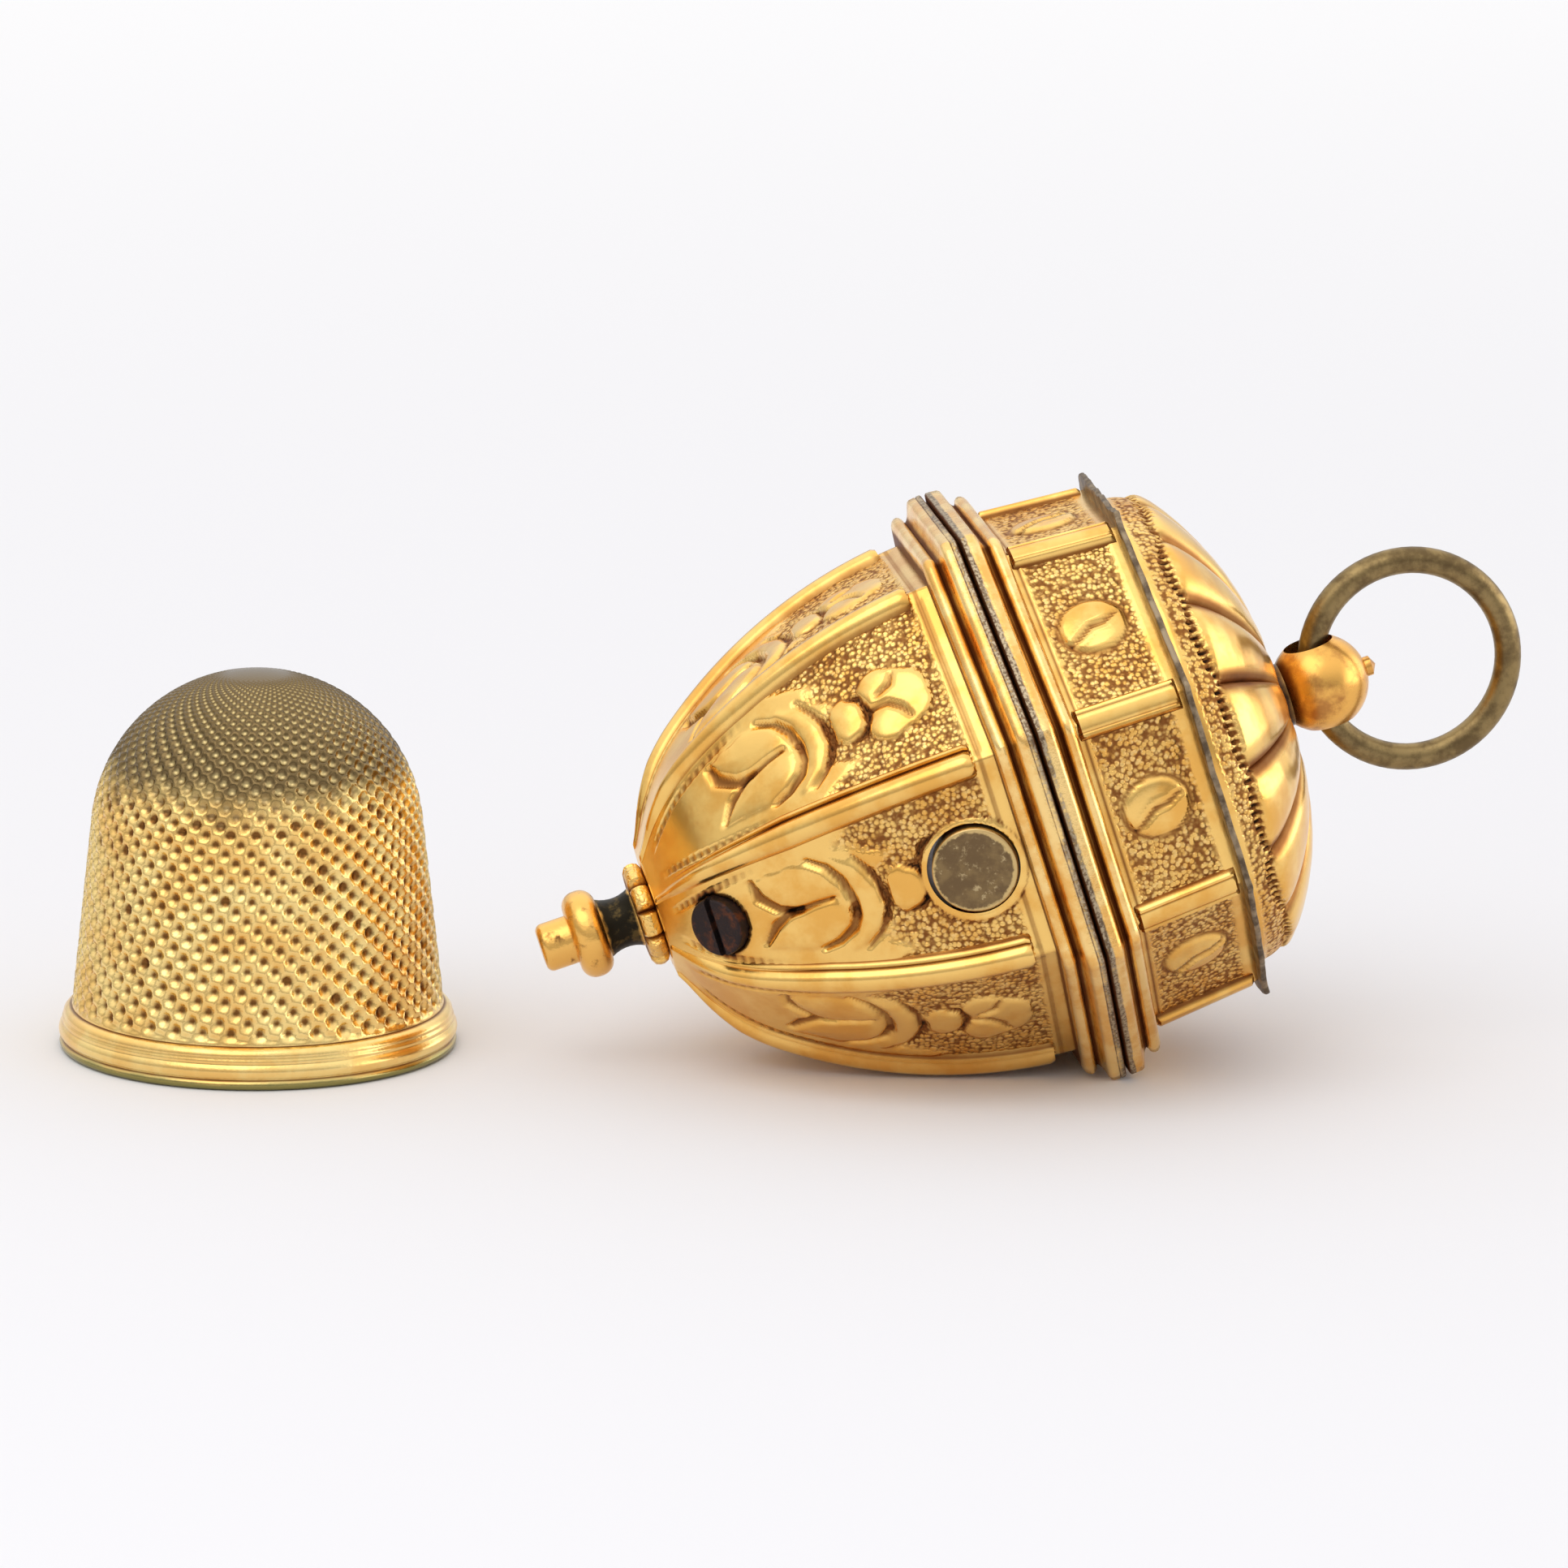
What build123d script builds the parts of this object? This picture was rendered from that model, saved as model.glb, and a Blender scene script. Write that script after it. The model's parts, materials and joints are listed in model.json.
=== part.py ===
from build123d import *
import math
import os

os.makedirs("parts", exist_ok=True)

# A gilt brass sewing etui: an eight-sided, acorn-shaped case that holds one thimble, lying on a table
# beside the thimble that belongs in it. The case opens at its widest part. Its lid is hinged at the
# back, held by a leaf-spring catch with a push button in the front panel, and carries a hanging ring.
#
# Sizes are in millimetres. A level is a height along the case's own axis, measured from the seam
# between body and lid: negative towards the finial, positive towards the ring. A flat is half the
# distance across two opposite flats, and a corner radius reaches from the axis to a corner.

sides = 8
side_turn = 360 / sides
corner_turn = side_turn / 2
facet_ratio = math.cos(math.radians(corner_turn))

# Body: curved panels with a raised rib over each corner
rib_room = 3.5
rib_height = 0.35
rib_width = 1.2
belly_radius = 22.2
belly_turn = 38
nose_radius = 8.5
nose_turn = 62
tip_corner = 2.8
crown_to_tip = 3.755
shell_wall = 0.6
tip_wall = 0.7
shell_top = -0.95

# Rims: a flange at the seam, a cove and a bead, the same on both sides of it
seam_gap = 0.12
flange_overhang = 1.675
flange_height = 0.75
cove_overhang = 0.975
bead_overhang = 1.125
bead_radius = 0.33
rim_height = 1.85

# Bezel: the strip inside the mouth that the lid closes over
bezel_gap = 0.1
bezel_wall = 0.35
bezel_foot = -1.8
bezel_top = 1.0

# Finial and notched collar at the tip
collar_radius = 2.35
collar_height = 0.9
collar_notches = 10
notch_radius = 0.32
neck_radius = 1.35
neck_height = 1.55
neck_waist = 0.2
finial_round = 0.45
bead_disc_radius = 2.0
bead_disc_height = 1.5
tip_button_radius = 1.1
tip_button_height = 1.45
shank_radius = 0.6
shank_head_radius = 0.95
shank_head_height = 0.3
washer_radius = 1.6
washer_height = 0.3

# Lid: eight-sided wall with flat bars at the corners, thin plate and round dome
wall_inset = 1.66
wall_taper = 0.5
wall_foot = 1.2
wall_top = 6.9
lid_wall_thickness = 0.6
bar_height = 0.25
bar_width = 1.3
bar_foot = 2.0
bar_top = 6.7
plate_overhang = 0.85
plate_thickness = 0.3
plate_seat = 0.8
dome_inset = 0.69
dome_shoulder_inset = 0.9
dome_shoulder_level = 8.9
dome_top_level = 11.95
dome_top_radius = 3.4
dome_wall = 0.6
dome_lean = math.sqrt(0.5)
dome_lobes = 16
lobe_groove_radius = 0.9
lobe_groove_depth = 0.35

# Ball knob with a cross hole for the ring
ball_radius = 2.2
ball_level = 14.05
ball_neck_radius = 1.45
ball_hole_radius = 1.15
nipple_radius = 0.45
nipple_height = 0.45
knob_shank_radius = 0.8
knob_washer_radius = 1.9
knob_washer_height = 0.35
knob_head_radius = 1.2
knob_head_height = 0.35

# Hanging ring
ring_radius = 4.52
ring_wire_radius = 0.6
ring_offset = 4.2
ring_droop = 4

# Hinge at the back
knuckle_radius = 1.0
knuckle_gap_to_rim = 0.08
pin_radius = 0.5
pin_running_gap = 0.03
pin_fixed_gap = 0.01
lid_knuckle_length = 3.4
body_knuckle_length = 2.4
knuckle_side_gap = 0.12
pin_head_radius = 0.75
pin_head_height = 0.25
knuckle_leaf_height = 1.3

# Catch: leaf spring, push button, screw and nut in the front panel, strike in the lid
button_level = -4.1
button_radius = 1.9
button_hole_gap = 0.15
button_proud = 0.4
button_rivet_radius = 0.7
button_rivet_length = 0.3
spring_thickness = 0.35
spring_width = 3.2
spring_gap = 0.1
spring_bend_rise = 2.6
spring_top = 2.3
nose_foot = 1.75
nose_reach = 0.2
strike_foot = 1.2
strike_top = 1.6
strike_width = 3.0
strike_gap = 0.1
screw_rise = 2.36
screw_radius = 0.65
screw_gap = 0.03
screw_head_radius = 1.35
screw_head_height = 0.75
screw_head_sunk = 0.25
screw_slot_width = 0.34
screw_slot_depth = 0.32
nut_width = 2.5
nut_height = 0.8

# Linings: a velvet socket for the thimble in the body and a padded disc in the lid
lining_gap = 0.2
lining_top_gap = 0.2
lining_block_rise = 4.8
socket_gap = 0.3
socket_wall = 0.8
spring_slot_width = 4.0
button_room = 0.62
pad_foot = 4.9
pad_crown = 1.1
pad_top = 7.1
pad_gap = 0.25
pad_side_draw = 0.25

# Thimble: a cone with a round crown and a moulded band over a rolled lip
thimble_lip_radius = 9.0
thimble_lip_height = 0.7
thimble_band_inset = 0.25
thimble_band_height = 1.95
thimble_wall_inset = 0.6
thimble_taper = 0.9
thimble_height = 17.2
thimble_wall = 0.45
thimble_seat_level = 3.4
thimble_side_gap = 3.3
thimble_y_from_seam = 5.4

# Sizes that follow the thimble: the body's width and depth leave it room, the rims follow the body
thimble_band_radius = thimble_lip_radius - thimble_band_inset
thimble_wall_foot_radius = thimble_lip_radius - thimble_wall_inset
thimble_crown_radius = thimble_wall_foot_radius - thimble_taper
rib_reach = thimble_lip_radius + rib_room
panel_flat = (rib_reach - rib_height) * facet_ratio
rim_flat = panel_flat + flange_overhang
cove_flat = panel_flat + cove_overhang
bead_flat = panel_flat + bead_overhang
crown_level = thimble_seat_level - thimble_height
tip_level = crown_level - crown_to_tip
floor_level = tip_level + tip_wall
belly_run = belly_radius - nose_radius
belly_sine, belly_cosine = math.sin(math.radians(belly_turn)), math.cos(math.radians(belly_turn))
nose_sine, nose_cosine = math.sin(math.radians(nose_turn)), math.cos(math.radians(nose_turn))
nose_end_reach = rib_reach - belly_radius + belly_run * belly_cosine + nose_radius * nose_cosine
nose_end_drop = belly_run * belly_sine + nose_radius * nose_sine
belly_level = tip_level + nose_end_drop + (nose_end_reach - tip_corner) * nose_cosine / nose_sine

# The lid's sizes follow its rim
wall_foot_corner = rim_flat / facet_ratio - wall_inset
wall_top_corner = wall_foot_corner - wall_taper
plate_corner = wall_top_corner + plate_overhang
dome_foot_radius = plate_corner * facet_ratio - dome_inset
dome_shoulder_radius = dome_foot_radius - dome_shoulder_inset
plate_hole_radius = dome_foot_radius - plate_seat

# Levels near the tip
screw_level = tip_level + screw_rise
spring_bend_level = screw_level + spring_bend_rise
lining_block_foot = crown_level + lining_block_rise
collar_foot = tip_level - collar_height
neck_foot = collar_foot - neck_height
bead_foot = neck_foot - bead_disc_height
finial_end = bead_foot - tip_button_height

# How the case lies: on the ribs beside its bottom panel and on the lower edge of the body's flange
flange_foot = seam_gap / 2 + flange_height
rib_edge = rib_width / 2 * math.sin(math.radians(corner_turn))
rest_span = (rim_flat - rib_edge) / facet_ratio - (rib_reach - belly_radius)
rest_drop = -flange_foot - belly_level
rest_turn = math.acos(belly_radius / math.hypot(rest_span, rest_drop)) - math.atan2(rest_drop, rest_span)
case_tilt = math.atan(facet_ratio * math.tan(rest_turn))

# Place on the table: the origin is under the middle of the whole set
hinge_reach = rim_flat + knuckle_gap_to_rim + knuckle_radius
ring_turn = case_tilt - math.radians(ring_droop)
thimble_x_from_seam = finial_end * math.cos(case_tilt) - thimble_side_gap - thimble_lip_radius
left_reach = thimble_x_from_seam - thimble_lip_radius
ring_reach = ring_radius + ring_wire_radius
right_reach = ball_level * math.cos(case_tilt) + ring_offset * math.cos(ring_turn) + ring_reach
seam_x = -(left_reach + right_reach) / 2
seam_y = (rim_flat - hinge_reach - knuckle_radius) / 2
seam_z = rim_flat * math.cos(case_tilt) + flange_foot * math.sin(case_tilt)

# The case's own frame: z along its axis, x up the picture, y to the front
case = Plane(
    origin=(seam_x, seam_y, seam_z),
    x_dir=(-math.sin(case_tilt), 0, math.cos(case_tilt)),
    z_dir=(math.cos(case_tilt), 0, math.sin(case_tilt)),
)
case_axis = Axis(case.origin, case.z_dir)
front_turn = 90
back_turn = 270


def side_plane(turn):
    """The plane through the case's axis whose x points out at a turn about the axis, and y along it."""
    outward = case.x_dir * math.cos(math.radians(turn)) + case.y_dir * math.sin(math.radians(turn))
    return Plane(origin=case.origin, x_dir=outward, z_dir=outward.cross(case.z_dir))


front = side_plane(front_turn)
back = side_plane(back_turn)


def panel_arcs(ratio, inset):
    """Centre, radius and end turn of the belly arc and the nose arc.

    ratio is 1 in the plane of a rib and facet_ratio in the plane of a flat, where every width is that
    much smaller. inset moves the curve inwards by a wall.
    """
    reach = rib_reach if ratio == 1 else panel_flat
    belly = belly_radius / ratio
    nose = nose_radius / ratio
    join = math.asin(math.sin(math.radians(belly_turn)) * ratio)
    end = math.atan(math.tan(math.radians(nose_turn)) * ratio)
    belly_centre = (reach - belly, belly_level)
    nose_centre = (
        belly_centre[0] + (belly - nose) * math.cos(join),
        belly_centre[1] - (belly - nose) * math.sin(join),
    )
    return (belly_centre, belly - inset, join), (nose_centre, nose - inset, end)


def panel_at(level, inset=0.0):
    """Flat and slope angle of a body panel at a level."""
    (belly_centre, belly, join), (nose_centre, nose, _) = panel_arcs(facet_ratio, inset)
    centre, radius = belly_centre, belly
    if level < belly_centre[1] - belly * math.sin(join):
        centre, radius = nose_centre, nose
    slope = math.asin((centre[1] - level) / radius)
    return centre[0] + radius * math.cos(slope), slope


def nose_end(ratio, inset):
    """End of the nose arc, and how much the straight stretch beyond it narrows for each millimetre of drop."""
    _, (centre, radius, end) = panel_arcs(ratio, inset)
    point = (centre[0] + radius * math.cos(end), centre[1] - radius * math.sin(end))
    return point, math.tan(end)


def draw_body(ratio, inset, top, foot):
    """Closed outline of the body from its foot level to its top level, in the plane of a rib or a flat."""
    (belly_centre, belly, join), (nose_centre, nose, end) = panel_arcs(ratio, inset)
    start = math.asin((belly_level - top) / belly)
    belly_arc = CenterArc(belly_centre, belly, -math.degrees(start), -math.degrees(join - start))
    nose_arc = CenterArc(nose_centre, nose, -math.degrees(join), -math.degrees(end - join))
    last, slope = nose_end(ratio, inset)
    foot_width = last[0] - (last[1] - foot) * slope
    Polyline(nose_arc @ 1, (foot_width, foot), (0, foot), (0, top), belly_arc @ 0)


def eight_sided(draw):
    """The solid whose eight flats all follow one closed outline, drawn from the axis outwards."""
    with BuildPart() as form:
        for side in range(sides // 2):
            with BuildSketch(side_plane(side * side_turn)):
                with BuildLine():
                    draw()
                make_face()
                mirror(about=Plane.YZ)
            extrude(amount=2 * rim_flat, both=True, mode=Mode.ADD if side == 0 else Mode.INTERSECT)
    return form.part


def straight_sided(foot_flat, foot, top_flat, top):
    """An eight-sided solid with straight sides between two levels."""
    return eight_sided(lambda: Polyline((0, foot), (foot_flat, foot), (top_flat, top), (0, top), close=True))


def draw_rim(side):
    """Closed outline of a rim: flange at the seam, cove and bead. side is -1 on the body, 1 on the lid."""
    foot = side * rim_height
    bead_level = side * (rim_height - bead_radius)
    bead_top = side * (rim_height - 2 * bead_radius)
    bead_root = bead_flat - bead_radius
    flange_edge = side * flange_foot
    cove_bottom = side * (flange_foot + bead_radius / 2)
    Polyline((0, foot), (0, side * seam_gap / 2), (rim_flat, side * seam_gap / 2), (rim_flat, flange_edge))
    ThreePointArc((rim_flat, flange_edge), (cove_flat, cove_bottom), (bead_root, bead_top))
    ThreePointArc((bead_root, bead_top), (bead_flat, bead_level), (bead_root, foot))
    Line((bead_root, foot), (0, foot))


# Flats that fit inside each other: shell, bezel, rims
bezel_flat = panel_at(bezel_foot, shell_wall)[0] - pin_fixed_gap
rim_bore_flat = bezel_flat + bezel_gap
solder_gap = 0.02

# Body shell: eight die-stamped panels and their ribs, open at the mouth
body_form = eight_sided(lambda: draw_body(facet_ratio, 0, shell_top, tip_level))
body_hollow = eight_sided(lambda: draw_body(facet_ratio, shell_wall, 0, floor_level))
button_flat, button_slope = panel_at(button_level)
screw_flat, screw_slope = panel_at(screw_level)


def panel_plane(flat, level, slope):
    """The plane that touches the front panel at a level, z pointing out of the panel."""
    outward = front.x_dir * math.cos(slope) - case.z_dir * math.sin(slope)
    return Plane(origin=front.from_local_coords((flat, level, 0)), x_dir=case.x_dir, z_dir=outward)


button_plane = panel_plane(button_flat, button_level, button_slope)
screw_plane = panel_plane(screw_flat, screw_level, screw_slope)

with BuildPart() as body_shell:
    add(body_form)
    for side in range(sides // 2):
        with BuildSketch(side_plane(side * side_turn + corner_turn)):
            with BuildLine():
                draw_body(1, 0, -rim_height, tip_level)
            make_face()
            mirror(about=Plane.YZ)
        extrude(amount=rib_width / 2, both=True)
    add(body_hollow, mode=Mode.SUBTRACT)
    with BuildSketch(button_plane):
        Circle(button_radius + button_hole_gap)
    extrude(amount=3 * shell_wall, both=True, mode=Mode.SUBTRACT)
    with BuildSketch(screw_plane):
        Circle(screw_radius + screw_gap)
    extrude(amount=3 * shell_wall, both=True, mode=Mode.SUBTRACT)
    with BuildSketch(screw_plane.offset(-screw_head_sunk)):
        Circle(screw_head_radius + screw_gap)
    extrude(amount=3 * shell_wall, mode=Mode.SUBTRACT)
    with BuildSketch(case.offset(tip_level)):
        Circle(shank_radius + solder_gap)
    extrude(amount=2 * tip_wall, both=True, mode=Mode.SUBTRACT)
body_shell.part.label = "body_shell"
export_step(body_shell.part, "parts/body_shell.step")

# Body rim: an eight-sided moulding soldered round the mouth, with a lip over the shell's edge
body_rim_form = eight_sided(lambda: draw_rim(-1))
body_rim_bore = straight_sided(rim_bore_flat, shell_top, rim_bore_flat, 0)
body_rim_seat = eight_sided(lambda: draw_body(facet_ratio, -solder_gap, shell_top + solder_gap, tip_level))
with BuildPart() as body_rim:
    add(body_rim_form)
    add(body_rim_bore, mode=Mode.SUBTRACT)
    add(body_rim_seat, mode=Mode.SUBTRACT)
body_rim.part.label = "body_rim"
export_step(body_rim.part, "parts/body_rim.step")

# Bezel: a strip bent to the mouth's shape, standing above the seam
bezel_form = straight_sided(bezel_flat, bezel_foot, bezel_flat, bezel_top)
bezel_bore = straight_sided(bezel_flat - bezel_wall, bezel_foot, bezel_flat - bezel_wall, bezel_top)
with BuildPart() as body_bezel:
    add(bezel_form)
    add(bezel_bore, mode=Mode.SUBTRACT)
body_bezel.part.label = "body_bezel"
export_step(body_bezel.part, "parts/body_bezel.step")

# Collar: a disc with notched petals between the shell's tip and the finial's neck
with BuildPart() as tip_collar:
    with BuildSketch(case.offset(collar_foot)):
        Circle(collar_radius)
    extrude(amount=collar_height)
    fillet(tip_collar.edges(), radius=notch_radius)
    with BuildSketch(case.offset(collar_foot)):
        with PolarLocations(collar_radius, collar_notches):
            Circle(notch_radius)
        Circle(shank_radius + solder_gap)
    extrude(amount=collar_height, mode=Mode.SUBTRACT)
tip_collar.part.label = "tip_collar"
export_step(tip_collar.part, "parts/tip_collar.step")

# Finial: turned in one piece with the shank that is riveted over a washer inside the shell
washer_top = floor_level + washer_height
finial_steps = (
    (bead_disc_radius, neck_foot, bead_foot),
    (tip_button_radius, bead_foot, finial_end),
)
with BuildPart() as finial:
    for radius, top, foot in finial_steps:
        with BuildSketch(case.offset(foot)):
            Circle(radius)
        extrude(amount=top - foot)
    outer_edges = finial.edges().filter_by(GeomType.CIRCLE).group_by(SortBy.RADIUS)
    fillet(outer_edges[-1], radius=bead_disc_height * finial_round)
    fillet(finial.edges().group_by(case_axis)[0], radius=tip_button_height * finial_round / 2)
    with BuildSketch(side_plane(0)):
        with BuildLine():
            Polyline((neck_radius, neck_foot), (0, neck_foot), (0, collar_foot), (neck_radius, collar_foot))
            ThreePointArc(
                (neck_radius, collar_foot),
                (neck_radius - neck_waist, (collar_foot + neck_foot) / 2),
                (neck_radius, neck_foot),
            )
        make_face()
    revolve(axis=case_axis)
    with BuildSketch(case.offset(collar_foot)):
        Circle(shank_radius)
    extrude(amount=washer_top - collar_foot)
    with BuildSketch(case.offset(washer_top)):
        Circle(shank_head_radius)
    extrude(amount=shank_head_height)
    fillet(finial.edges().group_by(case_axis)[-1], radius=shank_head_height * finial_round)
finial.part.label = "finial"
export_step(finial.part, "parts/finial.step")

with BuildPart() as finial_washer:
    with BuildSketch(case.offset(floor_level)):
        Circle(washer_radius)
        Circle(shank_radius + solder_gap, mode=Mode.SUBTRACT)
    extrude(amount=washer_height)
finial_washer.part.label = "finial_washer"
export_step(finial_washer.part, "parts/finial_washer.step")

# Spring foot: the end of the steel leaf, clamped flat against the panel by the screw
foot_plane = screw_plane.offset(-shell_wall)
nut_plane = foot_plane.offset(-spring_thickness)
with BuildPart() as spring_foot:
    with BuildSketch(foot_plane):
        Rectangle(nut_width, nut_width)
        Circle(screw_radius + screw_gap, mode=Mode.SUBTRACT)
    extrude(amount=-spring_thickness)
    add(body_hollow, mode=Mode.INTERSECT)
spring_foot.part.label = "spring_foot"
export_step(spring_foot.part, "parts/spring_foot.step")

with BuildPart() as spring_nut:
    with BuildSketch(nut_plane):
        Rectangle(nut_width, nut_width)
        Circle(screw_radius + pin_fixed_gap, mode=Mode.SUBTRACT)
    extrude(amount=-nut_height)
    chamfer(spring_nut.edges().filter_by(Axis(nut_plane.origin, nut_plane.z_dir)), length=nut_height / 4)
spring_nut.part.label = "spring_nut"
export_step(spring_nut.part, "parts/spring_nut.step")

# Screw: iron, cheese head with a slot, through the panel, the spring's foot and the nut
screw_seat = screw_plane.offset(-screw_head_sunk)
screw_length = shell_wall - screw_head_sunk + spring_thickness + nut_height
with BuildPart() as spring_screw:
    with BuildSketch(screw_seat):
        Circle(screw_head_radius)
    extrude(amount=screw_head_height)
    screw_axis = Axis(screw_seat.origin, screw_seat.z_dir)
    fillet(spring_screw.edges().group_by(screw_axis)[-1], radius=screw_slot_depth / 2)
    with BuildSketch(screw_seat):
        Circle(screw_radius)
    extrude(amount=-screw_length)
    with BuildSketch(screw_seat.offset(screw_head_height)):
        Rectangle(2 * screw_head_radius, screw_slot_width)
    extrude(amount=-screw_slot_depth, mode=Mode.SUBTRACT)
spring_screw.part.label = "spring_screw"
export_step(spring_screw.part, "parts/spring_screw.step")

# Leaf spring: from the bend it follows the panel, then runs straight past the button to the nose
leaf_outer = bezel_flat - bezel_wall - spring_gap
leaf_inner = leaf_outer - spring_thickness
straight_level = button_level + button_radius


def leaf_curve(inset):
    """Ends and middle of the leaf's curved stretch, on the face that is inset from the panel."""
    start = panel_at(spring_bend_level, shell_wall + spring_gap + inset)[0], spring_bend_level
    middle_level = (spring_bend_level + button_level) / 2
    middle = panel_at(middle_level, shell_wall + spring_gap + inset)[0], middle_level
    return start, middle


outer_start, outer_middle = leaf_curve(0)
inner_start, inner_middle = leaf_curve(spring_thickness)
with BuildPart() as catch_spring:
    with BuildSketch(front):
        with BuildLine():
            ThreePointArc(outer_start, outer_middle, (leaf_outer, straight_level))
            Polyline(
                (leaf_outer, straight_level),
                (leaf_outer, nose_foot),
                (leaf_outer + nose_reach, nose_foot),
                (leaf_outer + nose_reach, (nose_foot + spring_top) / 2),
                (leaf_outer, spring_top),
                (leaf_inner, spring_top),
                (leaf_inner, straight_level),
            )
            ThreePointArc((leaf_inner, straight_level), inner_middle, inner_start)
            Line(inner_start, outer_start)
        make_face()
    extrude(amount=spring_width / 2, both=True)
    with BuildSketch(button_plane):
        Circle(button_rivet_radius + solder_gap)
    extrude(amount=-4 * shell_wall, mode=Mode.SUBTRACT)
catch_spring.part.label = "catch_spring"
export_step(catch_spring.part, "parts/catch_spring.step")

# Push button: a flat disc riveted to the leaf, standing through its hole in the panel
button_depth = (button_flat - leaf_outer) / math.cos(button_slope)
seat_start, seat_middle = leaf_curve(-solder_gap)
seat_end = (leaf_outer + solder_gap, straight_level)
with BuildPart() as push_button:
    with BuildSketch(button_plane.offset(button_proud)):
        Circle(button_radius)
    extrude(amount=-button_proud - button_depth - spring_thickness - button_rivet_length)
    button_axis = Axis(button_plane.origin, button_plane.z_dir)
    fillet(push_button.edges().group_by(button_axis)[-1], radius=button_proud / 3)
    with BuildSketch(front):
        with BuildLine():
            ThreePointArc(seat_start, seat_middle, seat_end)
            Polyline(seat_end, (seat_end[0], 0), (0, 0), (0, spring_bend_level), seat_start)
        make_face()
    extrude(amount=2 * button_radius, both=True, mode=Mode.SUBTRACT)
    with BuildSketch(button_plane.offset(-button_depth + button_proud)):
        Circle(button_rivet_radius)
    extrude(amount=-button_proud - spring_thickness - button_rivet_length)
push_button.part.label = "push_button"
export_step(push_button.part, "parts/push_button.step")

# Hinge: two body knuckles, the lid's knuckle between them, and a pin riveted at both ends
hinge_plane = Plane(origin=back.from_local_coords((hinge_reach, 0, 0)), x_dir=back.x_dir, z_dir=case.x_dir)
knuckle_start = lid_knuckle_length / 2 + knuckle_side_gap


def draw_knuckle(bore, side):
    """Section of a tube on the hinge line and of the leaf that is soldered to the rim on its side."""
    leaf_level = side * (seam_gap / 2 + knuckle_leaf_height / 2)
    Circle(knuckle_radius)
    with Locations((-(knuckle_radius + knuckle_gap_to_rim) / 2, -leaf_level)):
        Rectangle(knuckle_radius + knuckle_gap_to_rim, knuckle_leaf_height)
    Circle(bore, mode=Mode.SUBTRACT)


with BuildPart() as body_knuckles:
    for start in (knuckle_start, -knuckle_start - body_knuckle_length):
        with BuildSketch(hinge_plane.offset(start)):
            draw_knuckle(pin_radius + pin_fixed_gap, -1)
        extrude(amount=body_knuckle_length)
    add(body_rim_form, mode=Mode.SUBTRACT)
body_knuckles.part.label = "body_knuckles"
export_step(body_knuckles.part, "parts/body_knuckles.step")

lid_rim_form = eight_sided(lambda: draw_rim(1))
with BuildPart() as lid_knuckle:
    with BuildSketch(hinge_plane.offset(-lid_knuckle_length / 2)):
        draw_knuckle(pin_radius + pin_running_gap, 1)
    extrude(amount=lid_knuckle_length)
    add(lid_rim_form, mode=Mode.SUBTRACT)
lid_knuckle.part.label = "lid_knuckle"
export_step(lid_knuckle.part, "parts/lid_knuckle.step")

pin_half = knuckle_start + body_knuckle_length
with BuildPart() as hinge_pin:
    with BuildSketch(hinge_plane):
        Circle(pin_radius)
    extrude(amount=pin_half, both=True)
    for end in (pin_half, -pin_half - pin_head_height):
        with BuildSketch(hinge_plane.offset(end)):
            Circle(pin_head_radius)
        extrude(amount=pin_head_height)
hinge_pin.part.label = "hinge_pin"
export_step(hinge_pin.part, "parts/hinge_pin.step")

# Lid rim: the body rim's moulding turned over
lid_bore = straight_sided(rim_bore_flat, 0, rim_bore_flat, wall_foot)
wall_foot_flat = wall_foot_corner * facet_ratio
wall_top_flat = wall_top_corner * facet_ratio
lid_wall_form = straight_sided(wall_foot_flat, wall_foot, wall_top_flat, wall_top)
lid_rim_seat = straight_sided(
    wall_foot_flat + solder_gap, wall_foot - solder_gap, wall_top_flat + solder_gap, wall_top
)
with BuildPart() as lid_rim:
    add(lid_rim_form)
    add(lid_bore, mode=Mode.SUBTRACT)
    add(lid_rim_seat, mode=Mode.SUBTRACT)
lid_rim.part.label = "lid_rim"
export_step(lid_rim.part, "parts/lid_rim.step")

# Lid wall: eight stamped panels, with a flat raised bar over each corner
lid_wall_hollow = straight_sided(
    wall_foot_flat - lid_wall_thickness, wall_foot, wall_top_flat - lid_wall_thickness, wall_top
)
wall_lean = (wall_foot_corner - wall_top_corner) / (wall_top - wall_foot)
bar_low = (wall_foot_corner - wall_lean * (bar_foot - wall_foot) + bar_height, bar_foot)
bar_high = (wall_foot_corner - wall_lean * (bar_top - wall_foot) + bar_height, bar_top)
with BuildPart() as lid_wall:
    add(lid_wall_form)
    for side in range(sides // 2):
        with BuildSketch(side_plane(side * side_turn + corner_turn)):
            with BuildLine():
                Polyline((0, bar_foot), bar_low, bar_high, (0, bar_top), close=True)
            make_face()
            mirror(about=Plane.YZ)
        extrude(amount=bar_width / 2, both=True)
    add(lid_wall_hollow, mode=Mode.SUBTRACT)
lid_wall.part.label = "lid_wall"
export_step(lid_wall.part, "parts/lid_wall.step")

# Lid plate: a thin flat plate that stands out a little over the wall and carries the dome
plate_foot = wall_top
plate_top = plate_foot + plate_thickness
plate_form = straight_sided(plate_corner * facet_ratio, plate_foot, plate_corner * facet_ratio, plate_top)
with BuildPart() as lid_plate:
    add(plate_form)
    with BuildSketch(case.offset(plate_foot)):
        Circle(plate_hole_radius)
    extrude(amount=plate_thickness, mode=Mode.SUBTRACT)
lid_plate.part.label = "lid_plate"
export_step(lid_plate.part, "parts/lid_plate.step")


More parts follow.
